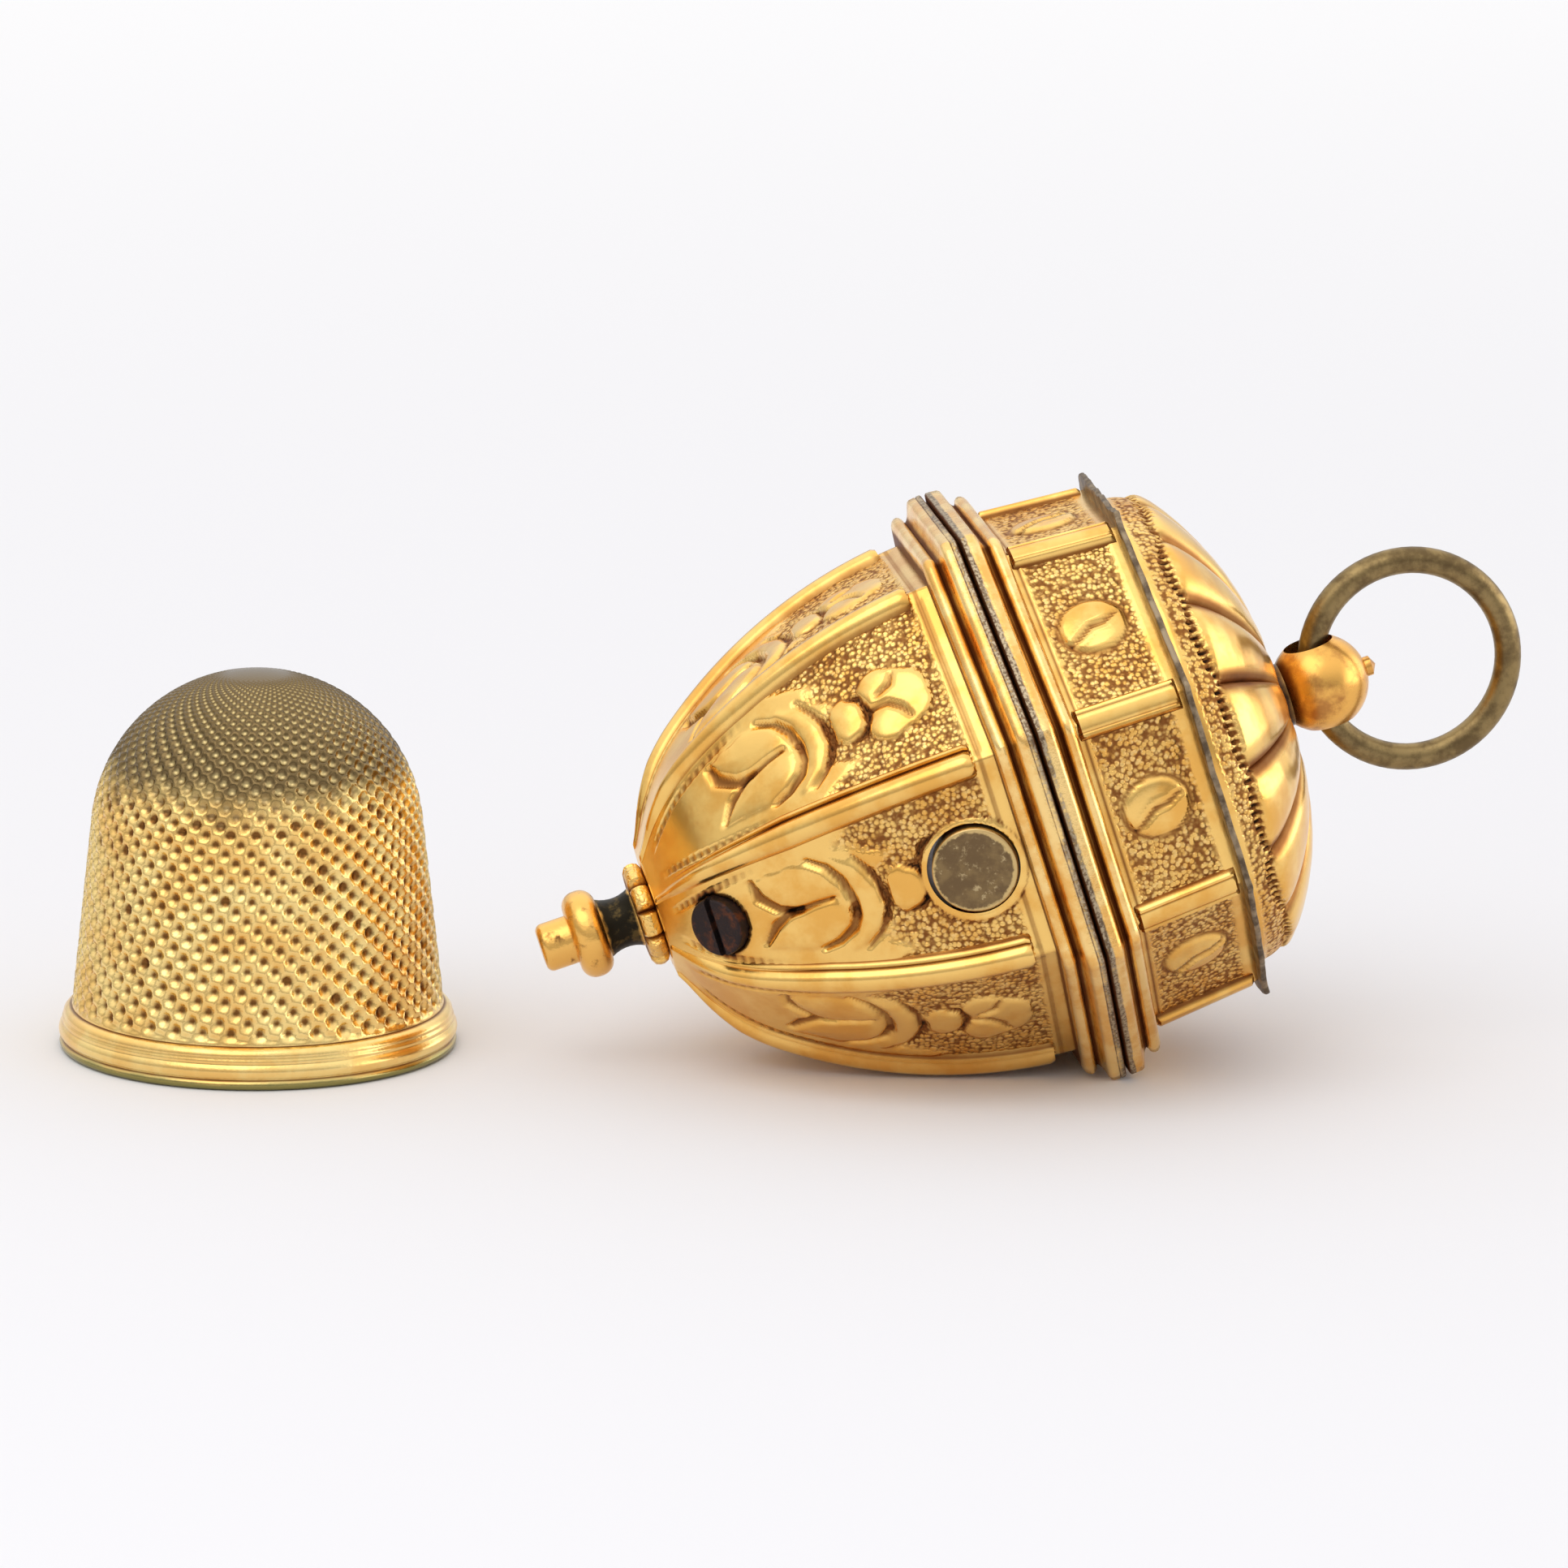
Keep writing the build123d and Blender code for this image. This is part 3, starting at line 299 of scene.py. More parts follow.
def panel_relief(x, y, edge, side, dice):
    """Height, hollow and ground of a panel's stamping. x is across the panel, y along it from the rim, and
    edge the distance to the panel's own edge."""
    front = side == 2
    leaf = np.minimum(
        stroke(x, y, [(-0.9, 9.35, 1.05), (-1.0, 10.3, 1.15), (-1.25, 11.4, 0.75), (-1.6, 12.2, 0.2)]),
        stroke(x, y, [(0.65, 9.3, 1.0), (0.85, 10.3, 1.0), (1.0, 11.4, 0.65), (1.3, 12.4, 0.2)]),
    )
    crescent = stroke(
        x,
        y,
        [
            (-2.0, 8.4, 0.15), (-1.35, 7.65, 0.4), (-0.45, 7.22, 0.55), (0.5, 7.18, 0.55), (1.35, 7.5, 0.4),
            (2.1, 8.4, 0.15),
        ],
    )
    bud = stroke(x, y, [(-0.3, 5.45, 0.72), (0.35, 5.45, 0.72)])
    flower = stroke(x, y, [(-0.75, 3.65, 0.95), (-0.15, 2.65, 1.1)])
    flower = np.minimum(flower, stroke(x, y, [(0.95, 3.75, 0.9), (0.35, 2.7, 1.15)]))
    raised = np.minimum(np.minimum(leaf, crescent), bud)
    leaf_front = [
        (-2.2, 9.5, 0.02), (-1.7, 8.7, 0.07), (-0.97, 8.19, 0.12), (0.0, 7.92, 0.13), (0.65, 7.96, 0.13),
        (1.24, 8.29, 0.12), (1.72, 9.1, 0.07), (1.9, 9.9, 0.02),
    ]
    crescent_front = [
        (-2.0, 7.4, 0.01), (-1.2, 6.85, 0.06), (-0.4, 6.55, 0.09), (0.5, 6.45, 0.09), (1.2, 6.7, 0.08),
        (1.8, 7.2, 0.04), (2.25, 7.85, 0.01),
    ]
    left_split = [
        (-0.3, 8.7, 0.01), (-0.22, 9.6, 0.03), (-0.05, 10.5, 0.08), (-0.2, 11.4, 0.13), (-0.9, 12.25, 0.18),
        (-1.6, 12.45, 0.1),
    ]
    right_split = [(-0.1, 10.4, 0.03), (0.1, 11.2, 0.1), (0.5, 11.9, 0.14), (1.2, 12.55, 0.05)]
    bud_front = [
        (-0.95, 5.2, 0.01), (-0.75, 4.7, 0.06), (-0.3, 4.5, 0.09), (0.4, 4.47, 0.09), (0.95, 4.85, 0.08),
        (1.12, 5.5, 0.02),
    ]
    grooves = [
        (leaf_front, 0.24),
        (crescent_front, 0.18),
        (left_split, 0.22),
        (right_split, 0.20),
        (bud_front, 0.16),
    ]
    if front:
        grooves.append(([(-1.95, 3.5, 0.02), (-1.65, 4.25, 0.09), (-1.1, 4.62, 0.02)], 0.16))
    else:
        raised = np.minimum(raised, flower)
        grooves.append(([(-1.2, 2.9, 0.02), (-0.71, 3.15, 0.07), (-0.43, 3.8, 0.02)], 0.18))
        grooves.append(([(0.06, 4.2, 0.03), (0.14, 3.49, 0.08), (0.6, 2.98, 0.08), (1.2, 2.69, 0.02)], 0.18))
    marks = punched(x + 40, y + 40, punch_pitch, dice)
    wander = dice.random(4) * 6
    fade = 7.5 + 0.8 * np.sin(x * 1.7 + wander[0]) + 0.5 * np.sin(x * 4.1 + wander[1])
    ground = np.clip((fade - y) / 0.9, 0, 1) * np.clip((y - 0.85) / 0.2, 0, 1) * np.clip(raised / 0.12, 0, 1)
    dents = np.exp(-((marks / punch_radius) ** 2))
    height = -0.08 * ground - 0.06 * ground * dents
    height += pillow(np.minimum(leaf, crescent), 0.15, 1.3)
    height += pillow(raised, 0.12, 0.8) * (np.minimum(leaf, crescent) > 0)
    # The punched ground and its marks darken with painted shade and some dirt.
    hollow = ground * (0.16 + 0.22 * dents)
    # Darker round the foot of the raised forms, more towards the rim: painted shade with some dirt.
    foot_shade_and_dirt = 0.35 * np.exp(-((np.maximum(raised, 0) / 0.1) ** 2)) * (raised > 0)
    hollow += foot_shade_and_dirt * np.clip((9 - y) / 2, 0.1, 1)
    strip = np.clip((edge - 0.70) / 0.08, 0, 1) * np.clip((1.12 - edge) / 0.08, 0, 1)
    strip = strip * np.clip((17.4 - y) / 0.8, 0, 1) * np.clip((y - 9.5 - wander[2] / 3) / 2, 0, 1)
    bead = 0.5 + 0.5 * np.cos(y * 2 * math.pi / 0.46)
    height += strip * (0.07 * bead - 0.10)
    # Darker between the beads of the channel: painted shade.
    hollow += strip * (0.75 - 0.4 * bead)
    grooves.append(([(-6, 0.62, 0.03), (6, 0.62, 0.03)], 0.1))
    for points, depth in grooves:
        gap = stroke(x, y, points)
        height -= cut(gap, depth, 0.10)
        # Grooves darken with painted shade and some dirt.
        hollow += cut(gap, 0.8, 0.07)
    if front:
        screw = np.hypot(x, y - screw_run)
        height = np.where(screw < screw_pocket, -0.3, height)
        # Dark ring round the screw's pocket: painted shade.
        hollow += 0.9 * np.exp(-((np.maximum(screw - 1.38, 0) / 0.22) ** 2))
        ring = np.hypot(x - 0.07, y - button_run)
        clear = np.clip((ring - 2.3) / 0.12, 0, 1)
        height = height * clear + 0.04 * np.exp(-(((ring - 2.2) / 0.08) ** 2))
        # Dark ring round the button's hole: a painted shadow of the gap.
        hollow = hollow * clear + 0.6 * np.exp(-(((ring - 2.38) / 0.07) ** 2))
        ground = ground * clear
    height *= np.clip((edge - 0.2) / 0.3, 0, 1) * np.clip((y - 0.1) / 0.2, 0, 1)
    return height, np.clip(hollow, 0, 1.3), ground


panels = new_mesh()
panel_columns, outer_rows, inner_rows = 76, 148, 9
outer_runs = np.linspace(-0.9, panel_length, outer_rows + 1)
inner_runs = np.linspace(panel_length - 1.2, -0.9, inner_rows + 1)
outer_flat, outer_level, outer_slope = panel_curve(outer_runs)
inner_flat, inner_level, inner_slope = panel_curve(inner_runs)
shell_wall = 0.6
row_flat = np.concatenate(
    [outer_flat, [0.65, 0.65], inner_flat - shell_wall * np.cos(inner_slope), outer_flat[:1]]
)
row_level = np.concatenate(
    [
        outer_level,
        [tip_level, tip_level + 0.7],
        inner_level + shell_wall * np.sin(inner_slope),
        outer_level[:1],
    ]
)
row_level = np.minimum(row_level, -0.95)
for side in range(sides):
    panel_dice = np.random.default_rng(40 + side)

    def panel_shape(column, row):
        flat, level = row_flat[row], row_level[row]
        share = column / panel_columns * 2 - 1
        half = flat * math.tan(corner_turn)
        x = share * half
        outer = row <= outer_rows
        slope = outer_slope[np.minimum(row, outer_rows)]
        run = outer_runs[np.minimum(row, outer_rows)]
        height, hollow, ground = panel_relief(x, run, half - np.abs(x), side, panel_dice)
        height = np.where(outer & (np.abs(share) < 0.999), height, 0)
        flat = flat + height * np.cos(slope)
        turn = side * 2 * corner_turn
        places = np.column_stack(
            [
                flat * math.cos(turn) - x * math.sin(turn),
                flat * math.sin(turn) + x * math.cos(turn),
                level - height * np.sin(slope),
            ]
        )
        # The inside of the shell gets a fixed hollow of 0.6: painted shade.
        return places, np.where(outer, hollow, 0.6), np.where(outer, ground, 0)

    bend_grid(panels, panel_columns, len(row_flat) - 1, panel_shape)
bmesh.ops.remove_doubles(panels, verts=panels.verts, dist=0.0005)
button_flat, button_level, button_slope = (float(value) for value in panel_curve(np.array(button_run)))
button_out = Vector((0, math.cos(button_slope), -math.sin(button_slope)))
button_spot = Vector((0, button_flat, button_level))
button_hole = 2.05


def from_button(place):
    """Part of a place's distance from the button's axis that is square to it."""
    offset = place - button_spot
    return offset - button_out * offset.dot(button_out)


holed = [
    face
    for face in panels.faces
    if face.calc_center_median().y > 5 and from_button(face.calc_center_median()).length < button_hole
]
bmesh.ops.delete(panels, geom=holed, context="FACES")
hole_edges = [edge for edge in panels.edges if edge.is_boundary]
for vertex in {vertex for edge in hole_edges for vertex in edge.verts}:
    offset = from_button(vertex.co)
    inside = (vertex.co - button_spot).dot(button_out) < -0.3
    vertex.co += offset.normalized() * (button_hole + 0.4 * inside - offset.length)
bmesh.ops.bridge_loops(panels, edges=hole_edges)
finish_piece("body_panels", panels, gilt, "case", ["body_shell"], sharp=math.radians(80))

# Ribs: a plain half-round bead over each corner of the body with a thin line beside it, struck with the
# panels. They stop short of the rim with a square end and narrow a little towards the tip.
ribs = new_mesh()
# Columns: across, height and hollow; hollow paints shade with some dirt at the feet and in the thin line.
rib_section = np.array(
    [
        (-0.95, -0.60, 0.5), (-0.93, -0.30, 0.9), (-0.86, -0.14, 0.1), (-0.78, -0.08, 0.0),
        (-0.70, -0.12, 0.3), (-0.63, -0.22, 1.0), (-0.56, -0.12, 0.4), (-0.48, 0.08, 0.0),
        (-0.34, 0.24, 0.0), (-0.10, 0.33, 0.0), (0.15, 0.33, 0.0), (0.38, 0.22, 0.0),
        (0.54, 0.04, 0.1), (0.62, -0.16, 0.6), (0.68, -0.60, 0.9), (-0.95, -0.60, 0.5),
    ]
)
rib_rows = 90
rib_runs = np.linspace(1.0, panel_length, rib_rows + 1)
rib_flat, rib_level, rib_slope = panel_curve(rib_runs)
rib_turn = np.arctan(np.tan(rib_slope) / facet)
for side in range(sides):

    def rib_shape(column, row):
        run = rib_runs[row]
        inner_row = (row > 0) & (row < rib_rows)
        narrow = np.where(inner_row, 1, 0.9) * (1 - 0.5 * np.clip((run - 10) / 8, 0, 1))
        x = rib_section[column, 0] * narrow
        height = rib_section[column, 1] - 0.24 * (rib_section[column, 1] > 0) * np.clip((run - 15) / 3, 0, 1)
        height = np.where(inner_row | (height < 0), height, height - 0.1)
        radius = rib_flat[row] / facet + height * np.cos(rib_turn[row])
        turn = (2 * side + 1) * corner_turn
        places = turned(turn, radius, rib_level[row] - height * np.sin(rib_turn[row]))
        places[:, 0] -= x * math.sin(turn)
        places[:, 1] += x * math.cos(turn)
        return places, rib_section[column, 2], np.zeros(len(x))

    bend_grid(ribs, len(rib_section) - 1, rib_rows, rib_shape)
bmesh.ops.remove_doubles(ribs, verts=ribs.verts, dist=0.0005)
bmesh.ops.holes_fill(ribs, edges=[edge for edge in ribs.edges if edge.is_boundary], sides=0)
finish_piece("body_ribs", ribs, gilt, "case")

# Rims: two soldered eight-sided mouldings that meet at the seam, each a flange, a cove and a bead. The
# gilding is rubbed grey-brown on the flanges; the coves and the seam are painted red-brown and black as shade
# with some dirt.


def worn(place, hollow, ground):
    """Gilding worn through: gold where ground is 0, grey-brown brass where it is 1, red-brown and black in
    the hollows as painted shade with some dirt.
    """
    patches = place.cloud(1.8, 6.0, 0.65)
    specks = place.cloud(0.14, 3.0, 0.6)
    gold = patches.ease(0.4, 0.62).blend((0.97, 0.68, 0.27), (0.86, 0.48, 0.13))
    brown = specks.ease(0.4, 0.6).blend((0.16, 0.11, 0.07), (0.50, 0.40, 0.26))
    bare = (ground + (patches - 0.5) * 2.2 * ground + (specks - 0.5) * 1.2 * ground).ease(0.35, 0.8)
    # Hollows turn red-brown: painted shade with some dirt.
    darkening = (hollow + (patches - 0.5) * 0.7 * hollow).ease(0.15, 0.75)
    colour = darkening.blend(bare.blend(gold, brown), (0.17, 0.055, 0.014))
    # Near-black in the deepest hollows and the seam: painted shade.
    colour = (hollow * (0.5 + patches)).ease(0.95, 1.3).blend(colour, (0.015, 0.010, 0.007))
    bump = specks * (0.008 + ground * 0.03) + place.cloud(0.6, 3.0) * 0.012
    return colour, 0.24 + darkening * 0.3 + bare * 0.16, bump, 1.0


rim_metal = metal("worn gilt brass", worn)
rim_flat, bore_flat = 12.9001, 10.6733
# Columns: flat, level, hollow and bare. Hollow is painted shade with some dirt in the coves, the seam and the
# inside.
rim_section = [
    (bore_flat, 0.95, 0.9, 0), (bore_flat, 0.06, 0.9, 0), (12.60, 0.06, 1.0, 1), (12.82, 0.08, 0.8, 1),
    (rim_flat, 0.14, 0.35, 0.9), (rim_flat, 0.30, 0.0, 0.6), (12.86, 0.36, 0.5, 0.8),
    (rim_flat - 0.01, 0.42, 0.0, 0.3), (rim_flat - 0.03, 0.66, 0.0, 0.15), (12.80, 0.78, 0.0, 0.0),
    (12.62, 0.86, 0.0, 0.0), (12.40, 0.93, 0.05, 0.0), (12.22, 1.00, 0.4, 0.0), (12.08, 1.09, 0.8, 0),
    (12.02, 1.17, 1.0, 0), (12.08, 1.22, 0.6, 0), (12.20, 1.26, 0.1, 0), (12.30, 1.36, 0, 0),
    (12.34, 1.48, 0, 0), (12.31, 1.61, 0, 0), (12.22, 1.73, 0, 0), (12.06, 1.82, 0.2, 0),
    (11.80, 1.86, 0.7, 0), (11.40, 1.86, 0.9, 0), (11.15, 1.86, 1.0, 0), (11.15, 0.95, 1.0, 0),
    (bore_flat, 0.95, 0.9, 0),
]


def eight_sided(turn):
    """How much farther out an eight-sided form is at a turn than at its flats."""
    return 1 / np.cos((turn + corner_turn) % (2 * corner_turn) - corner_turn)


def rim_piece(name, side, node, body, section):
    """A rim on one side of the seam: -1 on the body, 1 on the lid."""
    steps = sides * 24
    section = np.array(section)

    def shape(column, row):
        turn = row / steps * 2 * math.pi + corner_turn
        radius = section[column, 0] * eight_sided(turn)
        places = turned(turn, radius, side * section[column, 1])
        spots = [Vector(place) for place in places]
        dents = np.array([noise.noise(spot * 0.9) + 0.5 * noise.noise(spot * 2.7) for spot in spots])
        outside = section[column, 0] > 11.9
        places[:, :2] *= (1 + dents * 0.0022 * outside)[:, None]
        return places, section[column, 2], section[column, 3]

    mesh = new_mesh()
    bend_grid(mesh, len(section) - 1, steps, shape)
    return finish_piece(name, mesh, rim_metal, body, [node], sharp=math.radians(44))


rim_piece("body_rim_moulding", -1, "body_rim", "case", rim_section)
lid_section = [(flat, level, dark, bare) for flat, level, dark, bare in rim_section if level != 0.36]
lid_section = [
    (11.45 if flat == 11.15 else flat, level, dark, 0.9 if 0.1 < level < 0.35 else bare)
    for flat, level, dark, bare in lid_section
]
rim_piece("lid_rim_moulding", 1, "lid_rim", "lid", lid_section)

# Tip: a notched collar of ten petals under the panels and the turned finial, a button on a bead and a
# waisted neck, all gilt. The notches are painted dark as shade with some dirt, and the neck is nearly black
# with brown streaks.
collar = new_mesh()
collar_steps = 160
collar_section = np.array(
    [(0.62, 0, 1), (1.5, 0, 1), (2.05, 0.03, 0.5), (2.27, 0.16, 0.1), (2.35, 0.36, 0), (2.35, 0.56, 0),
     (2.26, 0.76, 0.2), (2.05, 0.88, 0.8), (1.5, 0.9, 1), (0.62, 0.9, 1), (0.62, 0, 1)]
)
collar_foot = tip_level - 0.9


def collar_shape(column, row):
    turn = row / collar_steps * 2 * math.pi
    notch = np.clip(np.abs(np.sin(turn * 5)) / 0.42, 0, 1)
    outside = np.clip((collar_section[column, 0] - 1.4) / 0.9, 0, 1)
    radius = collar_section[column, 0] - 0.42 * (1 - notch) ** 0.6 * outside
    radius = radius + 0.04 * np.sin(turn * 7 + 1) * outside
    # The notches darken with painted shade and some dirt.
    hollow = np.clip(collar_section[column, 2] + 1.1 * (1 - notch), 0, 1.2)
    return turned(turn, radius, collar_foot + collar_section[column, 1]), hollow, 0.4 * (hollow < 0.4)


bend_grid(collar, len(collar_section) - 1, collar_steps, collar_shape)
finish_piece("collar_petals", collar, gilt, "case", ["tip_collar"])


def old_finial(place, hollow, ground):
    """Gilding with brown streaks, black in the neck between the bead and the collar."""
    level = place.level()
    streaks = place.cloud(0.7, 5.0, 0.6)
    over_bead = (level + (streaks - 0.5) * 0.5).ease(-20.15, -19.9)
    neck = over_bead * (1.0 - (level + (streaks - 0.5) * 0.4).ease(-18.6, -18.4))
    darkening = streaks.ease(0.56, 0.74)
    colour = darkening.blend((0.88, 0.50, 0.13), (0.22, 0.10, 0.03))
    black = streaks.ease(0.5, 0.66).blend((0.022, 0.018, 0.012), (0.12, 0.08, 0.03))
    colour = neck.blend(colour, black)
    return colour, 0.25 + darkening * 0.25 + neck * 0.2, streaks * 0.03 + place.cloud(0.15) * 0.008, 1.0


finial_metal = metal("finial gilding", old_finial)
frame["nodes"]["finial"].data.materials[0] = finial_metal

# Screw and push button: the iron cheese-head screw that clamps the catch spring, brown-black with rust,
# and the bronze disc that opens the catch, painted paler at its edge as a highlight.


def rusty(place, hollow, ground):
    patches = place.cloud(0.8, 6.0, 0.65)
    colour = patches.ease(0.5, 0.7).blend((0.030, 0.020, 0.020), (0.14, 0.045, 0.02))
    return colour, 0.42 + patches * 0.2, patches * 0.05 + place.cloud(0.1) * 0.01, 0.75


def bronze(place, hollow, ground):
    offset = place.make("VectorMath", {"operation": "SUBTRACT"}, {0: place, 1: case_frame @ button_spot})
    gap = offset.make("VectorMath", {"operation": "LENGTH"}, {0: offset}, "Value") * 1000.0
    patches = place.cloud(1.1, 6.0, 0.65)
    scratches = place.cloud(0.35, 6.0, 0.7)
    colour = patches.ease(0.42, 0.66).blend((0.17, 0.11, 0.055), (0.26, 0.175, 0.08))
    colour = (scratches.ease(0.55, 0.68) * patches.ease(0.35, 0.55)).blend(colour, (0.50, 0.38, 0.20))
    # Paler bronze round the edge: a painted highlight.
    colour = (gap + (scratches - 0.5) * 0.5).ease(1.70, 1.82).blend(colour, (0.66, 0.47, 0.20))
    return colour, 0.30 + patches * 0.15, scratches * 0.012, 1.0


iron = metal("iron", rusty)
button_metal = metal("bronze", bronze)
for node in ("spring_screw", "spring_nut"):
    frame["nodes"][node].data.materials[0] = iron
frame["nodes"]["push_button"].data.materials[0] = button_metal

# Lid wall: eight stamped panels, each with a bean in a medallion on the punched ground, between plain
# edges, and a flat bar over each corner.
wall_foot, wall_top = 1.2, 6.9
wall_foot_flat, wall_top_flat = 12.303 * facet, 11.803 * facet
wall_columns, wall_rows = 64, 42
lid_wall = new_mesh()


def wall_relief(x, y, edge, dice):
    bean = (np.hypot(x / 1.32, (y - 4.3) / 1.5) - 1) * 1.4
    marks = punched(x + 40, y + 40, punch_pitch, dice)
    plain = np.clip((y - 2.3) / 0.15, 0, 1) * np.clip((6.3 - y) / 0.12, 0, 1)
    ground = plain * np.clip((bean - 0.1) / 0.12, 0, 1)
    dents = np.exp(-((marks / punch_radius) ** 2))
    height = -0.05 * ground - 0.06 * ground * dents
    height += pillow(bean, 0.13, 1.1)
    # The punched ground darkens with painted shade and some dirt.
    hollow = ground * (0.16 + 0.22 * dents)
    wave_start = [(0.75, 3.1, 0.01), (0.55, 3.5, 0.06), (0.05, 4.2, 0.07)]
    wave = stroke(x, y, wave_start + [(0.0, 4.8, 0.07), (-0.35, 5.5, 0.02)])
    height += 0.05 * np.exp(-(((wave - 0.2) / 0.12) ** 2)) * (bean < -0.1)
    border = stroke(x, y, [(-6, 2.15, 0.03), (6, 2.15, 0.03)])
    # The bean's outline, the wave and the border line darken with painted shade and some dirt.
    for gap, depth in ((wave, 0.14), (np.abs(bean - 0.06) - 0.03, 0.12), (border, 0.08)):
        height -= cut(gap, depth, 0.09)
        hollow += cut(gap, 0.85, 0.08)
    height *= np.clip(edge / 0.3, 0, 1)
    return height, np.clip(hollow, 0, 1.3), ground


for side in range(sides):
    wall_dice = np.random.default_rng(80 + side)

    def wall_shape(column, row):
        outer = row <= wall_rows
        share = np.clip(row / wall_rows, 0, 1) * (row <= wall_rows) + (row == wall_rows + 1)
        level = wall_foot + (wall_top - wall_foot) * share
        flat = wall_foot_flat + (wall_top_flat - wall_foot_flat) * share
        flat = flat - shell_wall * ((row > wall_rows) & (row < wall_rows + 3))
        across = column / wall_columns * 2 - 1
        half = flat * math.tan(corner_turn)
        x = across * half
        height, hollow, ground = wall_relief(x, level, half - np.abs(x), wall_dice)
        flat = flat + np.where(outer & (np.abs(across) < 0.999) & (row > 0) & (row < wall_rows), height, 0)
        turn = side * 2 * corner_turn
        places = np.column_stack(
            [flat * math.cos(turn) - x * math.sin(turn), flat * math.sin(turn) + x * math.cos(turn), level]
        )
        # The inside of the wall gets a fixed hollow of 0.7: painted shade.
        return places, np.where(outer, hollow, 0.7), np.where(outer, ground, 0)

    bend_grid(lid_wall, wall_columns, wall_rows + 3, wall_shape)
finish_piece("lid_panels", lid_wall, gilt, "lid", ["lid_wall"], sharp=math.radians(80))

bars = new_mesh()
# Columns: across, height and hollow; hollow paints shade with some dirt at the feet and in the two lines.
bar_section = np.array(
    [
        (-0.72, -0.60, 0.9), (-0.70, -0.22, 0.9), (-0.66, -0.02, 0.2), (-0.60, 0.08, 0), (-0.5, 0.11, 0),
        (-0.42, 0.07, 0.7), (-0.34, 0.12, 0.0), (-0.15, 0.16, 0), (0.15, 0.16, 0), (0.34, 0.12, 0.0),
        (0.42, 0.07, 0.7), (0.5, 0.11, 0), (0.60, 0.08, 0), (0.66, -0.02, 0.2), (0.70, -0.22, 0.9),
        (0.72, -0.60, 0.9), (-0.72, -0.60, 0.9),
    ]
)
bar_levels = np.array([2.0, 2.03, 2.12, 2.3, 2.8, 3.6, 4.4, 5.2, 6.0, 6.4, 6.58, 6.67, 6.7])
bar_foot, bar_top = bar_levels[0], bar_levels[-1]
wall_corner, wall_taper, bar_sink = 12.303, 0.5, 0.04
for side in range(sides):

    def bar_shape(column, row):
        level = bar_levels[row]
        share = (level - wall_foot) / (wall_top - wall_foot)
        end = np.minimum(level - bar_foot, bar_top - level)
        height = bar_section[column, 1]
        height = np.where(height > -0.1, height - 0.12 * np.clip(1 - end / 0.12, 0, 1), height)
        radius = wall_corner - wall_taper * share + height - bar_sink
        turn = (2 * side + 1) * corner_turn
        x = bar_section[column, 0]
        places = turned(turn, radius, level)
        places[:, 0] -= x * math.sin(turn)
        places[:, 1] += x * math.cos(turn)
        return places, bar_section[column, 2], np.zeros(len(x))

    bend_grid(bars, len(bar_section) - 1, len(bar_levels) - 1, bar_shape)
bmesh.ops.remove_doubles(bars, verts=bars.verts, dist=0.0005)
bmesh.ops.holes_fill(bars, edges=[edge for edge in bars.edges if edge.is_boundary], sides=0)
finish_piece("lid_bars", bars, gilt, "lid")

# Lid plate: a thin eight-sided plate cut with shears, so its grey edge is rough and it stands out in
# small lips at the corners. The dome is soldered to it.


def sheared(place, hollow, ground):
    patches = place.cloud(0.9, 6.0, 0.65)
    colour = patches.ease(0.4, 0.62).blend((0.12, 0.085, 0.055), (0.34, 0.26, 0.17))
    return colour, 0.38 + patches * 0.2, patches * 0.05, 1.0


plate_edge = metal("sheared edge", sheared)
plate = new_mesh()
plate_steps = sides * 40
plate_foot = 6.9
plate_section = np.array(
    [
        (10.2, 0.0), (11.0, 0.0), (11.55, 0.0), (11.66, 0.03), (11.69, 0.1), (11.69, 0.2), (11.66, 0.27),
        (11.55, 0.3), (10.2, 0.3), (10.2, 0.0),
    ]
)


def plate_shape(column, row):
    turn = row / plate_steps * 2 * math.pi + corner_turn
    radius = plate_section[column, 0] * eight_sided(turn)
    ragged = np.array([noise.noise(Vector((math.cos(t) * 9, math.sin(t) * 9, 0.5))) for t in turn])
    chips = np.array([noise.noise(Vector((math.cos(t) * 40, math.sin(t) * 40, 3.5))) for t in turn])
    outside = np.clip((plate_section[column, 0] - 11.2) / 0.4, 0, 1)
    corner = np.abs((turn + corner_turn) % (2 * corner_turn) - corner_turn) / corner_turn
    radius = radius + (ragged * 0.10 + chips * 0.09 - 0.06) * outside
    level = plate_foot + plate_section[column, 1] + (ragged * 0.05 + 0.05 * corner**12) * outside
    return turned(turn, radius, level), np.zeros(len(turn)), np.zeros(len(turn))


bend_grid(plate, len(plate_section) - 1, plate_steps, plate_shape)
finish_piece("lid_plate_sheared", plate, plate_edge, "lid", ["lid_plate"])

# Dome: spun in thin brass and chased with sixteen plump lobes that rise from a punched ring round its
# foot. The ball knob's neck closes it. The creases, the teeth and the top round the neck are painted brown as
# shade with some dirt.
dome = new_mesh()
lobes, lobe_steps = 16, 44
dome_steps, dome_rows, dome_inner = lobes * lobe_steps, 84, 14
dome_points = np.array(
    [
        (11.00, 7.20), (11.00, 7.55), (10.93, 7.95), (10.77, 8.35), (10.50, 8.75), (10.10, 9.15), (9.5, 9.60),
        (8.7, 10.10), (7.7, 10.62), (6.6, 11.10), (5.4, 11.52), (4.4, 11.78), (3.4, 11.92), (2.6, 11.95),
        (2.0, 11.95), (1.3, 11.95),
    ]
)
dome_gaps = np.concatenate([[0], np.cumsum(np.hypot(*np.diff(dome_points, axis=0).T))])
dome_runs = dome_gaps[-1] * np.linspace(0, 1, dome_rows + 1) ** 1.15
dome_radius = np.interp(dome_runs, dome_gaps, dome_points[:, 0])
